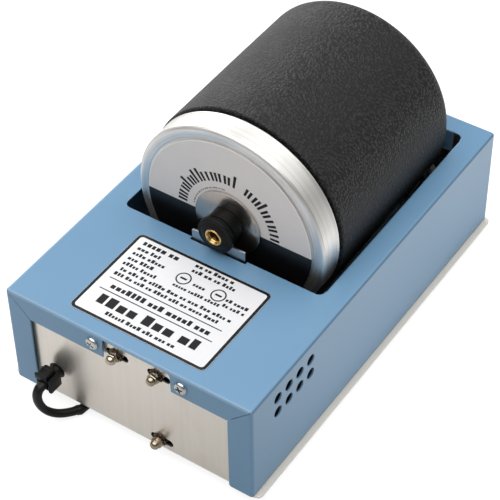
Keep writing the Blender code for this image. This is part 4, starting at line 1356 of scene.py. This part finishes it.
def make_roller_frame():
    """The frame's front ear with its stop tab, its floor and its rear ear, each a flat sheet."""
    low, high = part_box("roller_frame")
    t = 1.0 * MM
    ear_top = FLOOR_Z + 40.0 * MM
    shaft = middle("drive_shaft")
    half = high.x
    for name, y_front, tab in (("frame_ear_front", low.y, True), ("frame_ear_rear", high.y - t, False)):
        outline = [(half, low.z, 0.5 * MM), (half, ear_top, 5.0 * MM)]
        if tab:
            left, right = -16.5 * MM, 15.7 * MM
            notch_r = 9.8 * MM
            drop = AXIS.z - high.z
            reach = math.sqrt(notch_r**2 - drop**2)
            outline += [(right, ear_top, 2.0 * MM), (right, high.z, 0.5 * MM), (reach, high.z, 0.2 * MM)]
            start = math.degrees(math.atan2(-drop, reach))
            outline += [(p[0], p[1], 0.0) for p in arc_points(0.0, AXIS.z, notch_r, start, -180 - start, 16)][1:-1]
            outline += [(-reach, high.z, 0.2 * MM), (left, high.z, 0.5 * MM), (left, ear_top, 2.0 * MM)]
        outline += [(-half, ear_top, 5.0 * MM), (-half, low.z, 0.5 * MM)]
        loops = [rounded(outline, 0.5 * MM, True, 5)]
        loops += [disc(side * abs(shaft.x), shaft.z, 6.7 * MM, 40) for side in (-1, 1)]
        form = sheet_form(loops, t, 0.14 * MM)
        turn = Matrix.Translation((0, y_front, 0)) @ Matrix.Rotation(math.radians(90), 4, "X")
        bmesh.ops.transform(form, matrix=turn, verts=form.verts)
        nodes = ("roller_frame",) if tab else ()
        weighted(link(name, mesh_from(form, name), "base", *nodes, finish=ZINC))
    floor = sheet_form(
        [
            round_rect(-half, half, low.y + t + 0.05 * MM, high.y - t - 0.05 * MM, 1.0 * MM, 3),
            round_rect(-22 * MM, 22 * MM, -10 * MM, 80 * MM, 5 * MM, 6),
        ],
        t,
        0.14 * MM,
    )
    bmesh.ops.translate(floor, verts=floor.verts, vec=(0, 0, low.z + t))
    weighted(link("frame_floor", mesh_from(floor, "frame_floor"), "base", finish=ZINC))


def make_shafts():
    for number in (1, 2, 3, 4):
        low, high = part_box(f"shaft_bushing_{number}")
        at = (low + high) / 2
        ear = at.y
        inner = 4.15 * MM
        profile = [
            (7.4 * MM, high.y), (8.5 * MM, ear + 0.9 * MM), (6.3 * MM, ear + 0.9 * MM), (6.3 * MM, ear - 0.9 * MM),
            (8.5 * MM, ear - 0.9 * MM), (7.4 * MM, low.y), (inner, low.y), (inner, high.y),
        ]
        lathe(
            f"bushing_fine_{number}", profile, at, "base", f"shaft_bushing_{number}",
            finish=NYLON, steps=64, closed=True, round_by=0.4 * MM,
        )
    for label in ("drive", "idler"):
        low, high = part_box(f"{label}_shaft")
        at = (low + high) / 2
        r = radius_of(f"{label}_shaft")
        profile = [(0.0, high.y), (r - 0.6 * MM, high.y), (r, high.y - 0.6 * MM)]
        for end in ("rear", "front"):
            clip = middle(f"{label}_clip_{end}")
            groove = 0.45 * MM
            profile += [
                (r, clip.y + groove), (r - 0.4 * MM, clip.y + groove), (r - 0.4 * MM, clip.y - groove), (r, clip.y - groove)
            ]
        profile += [(r, low.y + 0.6 * MM), (r - 0.6 * MM, low.y), (0.0, low.y)]
        lathe(
            f"{label}_shaft_fine", profile, at, f"{label}_shaft", f"{label}_shaft", finish=GROUND, steps=64, round_by=0.08 * MM
        )
        for end in ("rear", "front"):
            make_clip(f"{label}_clip_{end}", f"{label}_shaft", at)


def make_clip(node, body, at):
    """An E-shaped retaining clip with its open mouth and three inner lugs."""
    low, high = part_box(node)
    outer, inner, lug = 6.3 * MM, 5.0 * MM, 3.75 * MM
    loop = arc_points(0, 0, outer, -50, 230, 28)
    inside = []
    for angle in range(230, -51, -10):
        near = min(abs(angle - place) for place in (222, 90, -42))
        r = lug if near <= 12 else inner
        inside.append((r * math.cos(math.radians(angle)), r * math.sin(math.radians(angle))))
    form = sheet_form([loop + inside], high.y - low.y, 0.08 * MM)
    turn = Matrix.Translation((at.x, low.y, at.z)) @ Matrix.Rotation(math.radians(90), 4, "X")
    bmesh.ops.transform(form, matrix=turn, verts=form.verts)
    link(f"{node}_fine", mesh_from(form, f"{node}_fine"), body, node, finish=DARK_STEEL)


def make_pulleys():
    for node, body, bore, finish in (
        ("driven_pulley", "drive_shaft", 4.1 * MM, BLACK),
        ("motor_pulley", "motor_rotor", 2.6 * MM, SPUN),
    ):
        low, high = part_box(node)
        at = (low + high) / 2
        rim = (high.x - low.x) / 2
        groove = 3.0 * MM
        profile = [
            (rim, high.y), (rim, at.y + 2.3 * MM), (rim - groove, at.y + 1.2 * MM), (rim - groove, at.y - 1.2 * MM),
            (rim, at.y - 2.3 * MM), (rim, low.y),
        ]
        if rim > 10 * MM:
            web = 1.2 * MM
            profile += [(rim - 4.6 * MM, low.y), (rim - 4.8 * MM, low.y + web), (7.4 * MM, low.y + web), (7.2 * MM, low.y)]
        profile += [(bore, low.y), (bore, high.y)]
        lathe(f"{node}_fine", profile, at, body, node, finish=finish, steps=96, closed=True, round_by=0.3 * MM)


def make_belt():
    """The round belt over both pulleys."""
    driven, motor = middle("driven_pulley"), middle("motor_pulley")
    belt_low, belt_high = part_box("drive_belt")
    cord = (belt_high.y - belt_low.y) / 2
    r1 = driven.x - belt_low.x - cord
    r2 = belt_high.x - cord - motor.x
    dx, dz = motor.x - driven.x, motor.z - driven.z
    tilt = math.atan2(dz, dx)
    spread = math.acos((r1 - r2) / math.hypot(dx, dz))
    path = []
    for cx, cz, r, start, end, steps in (
        (driven.x, driven.z, r1, tilt + spread, tilt + TAU - spread, 48),
        (motor.x, motor.z, r2, tilt - spread, tilt + spread, 32),
    ):
        for k in range(steps + 1):
            angle = start + (end - start) * k / steps
            path.append(Vector((cx + r * math.cos(angle), driven.y, cz + r * math.sin(angle))))
    form = bmesh.new()
    count = len(path)
    section = 16
    rings = []
    for i, point in enumerate(path):
        ahead = (path[(i + 1) % count] - path[i - 1]).normalized()
        out = ahead.cross(Vector((0, 1, 0)))
        ring = []
        for k in range(section):
            angle = TAU * k / section
            ring.append(form.verts.new(point + out * cord * math.cos(angle) + Vector((0, cord * math.sin(angle), 0))))
        rings.append(ring)
    for i in range(count):
        a, b = rings[i], rings[(i + 1) % count]
        for k in range(section):
            m = (k + 1) % section
            form.faces.new((a[k], a[m], b[m], b[k]))
    link("drive_belt_round", mesh_from(form, "drive_belt_round", 60), "base", "drive_belt", finish=RUBBER)


def make_motor():
    """Materials for the motor's own CAD pieces, and smooth round ones in place of the faceted ones."""
    plain = {
        "stator_stack": LAMINATED,
        "field_coil": WINDING,
        "front_bracket": ZINC,
        "rear_bracket": ZINC,
        "cooling_fan": BLACK,
    }
    for node, finish in plain.items():
        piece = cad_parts[node]
        piece.data.materials.clear()
        piece.data.materials.append(finish)
    soften = {"field_coil": 0.0012, "stator_stack": 0.0003, "front_bracket": 0.0003, "rear_bracket": 0.0003}
    for node, width in soften.items():
        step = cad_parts[node].modifiers.new("Soft edges", "BEVEL")
        step.width = width
        step.segments = 2
        step.limit_method = "ANGLE"
        step.angle_limit = math.radians(50)
    shaft_low, shaft_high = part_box("motor_shaft")
    at = middle("motor_shaft")
    profile = [(0.0, shaft_high.y), (2.1 * MM, shaft_high.y), (2.5 * MM, shaft_high.y - 0.4 * MM),
               (2.5 * MM, shaft_low.y + 0.4 * MM), (2.1 * MM, shaft_low.y), (0.0, shaft_low.y)]
    lathe("motor_shaft_fine", profile, at, "motor_rotor", "motor_shaft", finish=GROUND, steps=48, round_by=0.1 * MM)
    low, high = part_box("rotor")
    lathe(
        "rotor_fine", tube(13.0 * MM, 2.7 * MM, high.y, low.y), at, "motor_rotor", "rotor",
        finish=LAMINATED, steps=96, closed=True, round_by=0.4 * MM,
    )
    for number in (1, 2, 3):
        low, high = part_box(f"motor_stud_{number}")
        spot = (low + high) / 2
        rows = []
        y = high.y - 0.6 * MM
        while y > low.y + 0.6 * MM:
            rows += [(1.9 * MM, y), (1.68 * MM, y - 0.4 * MM)]
            y -= 0.8 * MM
        profile = [(0.0, high.y), (1.5 * MM, high.y), *rows, (1.5 * MM, low.y), (0.0, low.y)]
        lathe(f"motor_stud_fine_{number}", profile, spot, "base", f"motor_stud_{number}", finish=ZINC, steps=24, round_by=0)
        low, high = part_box(f"motor_spacer_{number}")
        lathe(
            f"motor_spacer_fine_{number}", tube(3.6 * MM, 2.2 * MM, high.y, low.y), spot, "base",
            f"motor_spacer_{number}", finish=ZINC, steps=40, closed=True, round_by=0.2 * MM,
        )


# ------------------------------------------------------------------ stage, light and camera


def make_stage():
    form = bmesh.new()
    bmesh.ops.create_grid(form, x_segments=1, y_segments=1, size=30.0)
    mesh = bpy.data.meshes.new("floor")
    form.to_mesh(mesh)
    form.free()
    floor = bpy.data.objects.new("floor", mesh)
    bpy.context.scene.collection.objects.link(floor)
    f = Finish("pale_floor")
    seen = f.node("ShaderNodeLightPath").outputs["Is Camera Ray"]
    place = f.node("ShaderNodeSeparateXYZ", {"Vector": f.coordinates}).outputs
    beside = f.span(f.math("ABSOLUTE", f.math("SUBTRACT", place["X"], 0.16)), 1.0, 0.0, 0.05, 0.10)
    along = f.span(place["Y"], 0.0, 0.79, -0.17, -0.02)
    base = f.span(place["X"], 0.37, 0.16, -0.06, 0.08)
    sheen = f.math("ADD", base, f.math("MULTIPLY", beside, along))
    glow = f.math("MAXIMUM", f.math("MULTIPLY", seen, 0.82), f.math("MULTIPLY", f.math("SUBTRACT", 1.0, seen), sheen))
    mesh.materials.append(
        f.set((0.32, 0.32, 0.32), 0.9, 0.0, **{"Emission Color": (1.0, 1.0, 1.0, 1.0), "Emission Strength": glow})
    )
    bpy.context.scene.view_settings.view_transform = "Standard"


def make_lights():
    """A broad soft light overhead and a soft glow low behind on the left, over a dim horizon."""
    world = bpy.data.worlds.new("studio")
    bpy.context.scene.world = world
    world.use_nodes = True
    nodes, links = world.node_tree.nodes, world.node_tree.links
    direction = nodes.new("ShaderNodeTexCoord").outputs["Generated"]

    def glow(axis, wide, narrow, strength):
        toward = nodes.new("ShaderNodeVectorMath")
        toward.operation = "DOT_PRODUCT"
        toward.inputs[1].default_value = Vector(axis).normalized()
        links.new(direction, toward.inputs[0])
        fade = nodes.new("ShaderNodeMapRange")
        fade.interpolation_type = "SMOOTHSTEP"
        fade.inputs["From Min"].default_value = math.cos(math.radians(wide))
        fade.inputs["From Max"].default_value = math.cos(math.radians(narrow))
        fade.inputs["To Max"].default_value = strength
        links.new(toward.outputs["Value"], fade.inputs["Value"])
        return fade.outputs["Result"]

    total = None
    for lobe in (
        ((-0.12, -0.13, 1.0), 52, 26, 2.25),
        ((-0.80, 0.57, 0.20), 33, 9, 2.8),
        ((0.42, 0.58, 0.70), 34, 10, 0.95),
    ):
        add = nodes.new("ShaderNodeMath")
        links.new(glow(*lobe), add.inputs[0])
        if total is None:
            add.inputs[1].default_value = 0.20
        else:
            links.new(total, add.inputs[1])
        total = add.outputs[0]
    background = nodes["Background"]
    background.inputs["Color"].default_value = (1.0, 1.0, 1.0, 1.0)
    links.new(total, background.inputs["Strength"])


def make_camera():
    azimuth, elevation, roll = (math.radians(a) for a in (34.414, 44.594, -0.869))
    distance = 0.9855
    target = Vector((-0.02338, 0.02384, FLOOR_Z))
    back = Vector(
        (math.sin(azimuth) * math.cos(elevation), -math.cos(azimuth) * math.cos(elevation), math.sin(elevation))
    )
    right = Vector((math.cos(azimuth), math.sin(azimuth), 0.0))
    up = back.cross(right)
    rolled_right = right * math.cos(roll) + up * math.sin(roll)
    rolled_up = up * math.cos(roll) - right * math.sin(roll)
    data = bpy.data.cameras.new("camera")
    data.lens = 128.64
    data.sensor_width = 36.0
    camera = bpy.data.objects.new("camera", data)
    place = target + back * distance
    columns = Matrix((rolled_right, rolled_up, back)).transposed()
    camera.matrix_world = Matrix.Translation(place) @ columns.to_4x4()
    bpy.context.scene.collection.objects.link(camera)
    bpy.context.scene.camera = camera


make_cover()
make_pan()
make_barrel()
make_lid()
make_knob()
make_label()
make_nuts()
make_screws()
make_cord()
make_bushing()
make_plug()
make_feet()
make_roller_frame()
make_shafts()
make_pulleys()
make_belt()
make_motor()
make_stage()
make_lights()
make_camera()
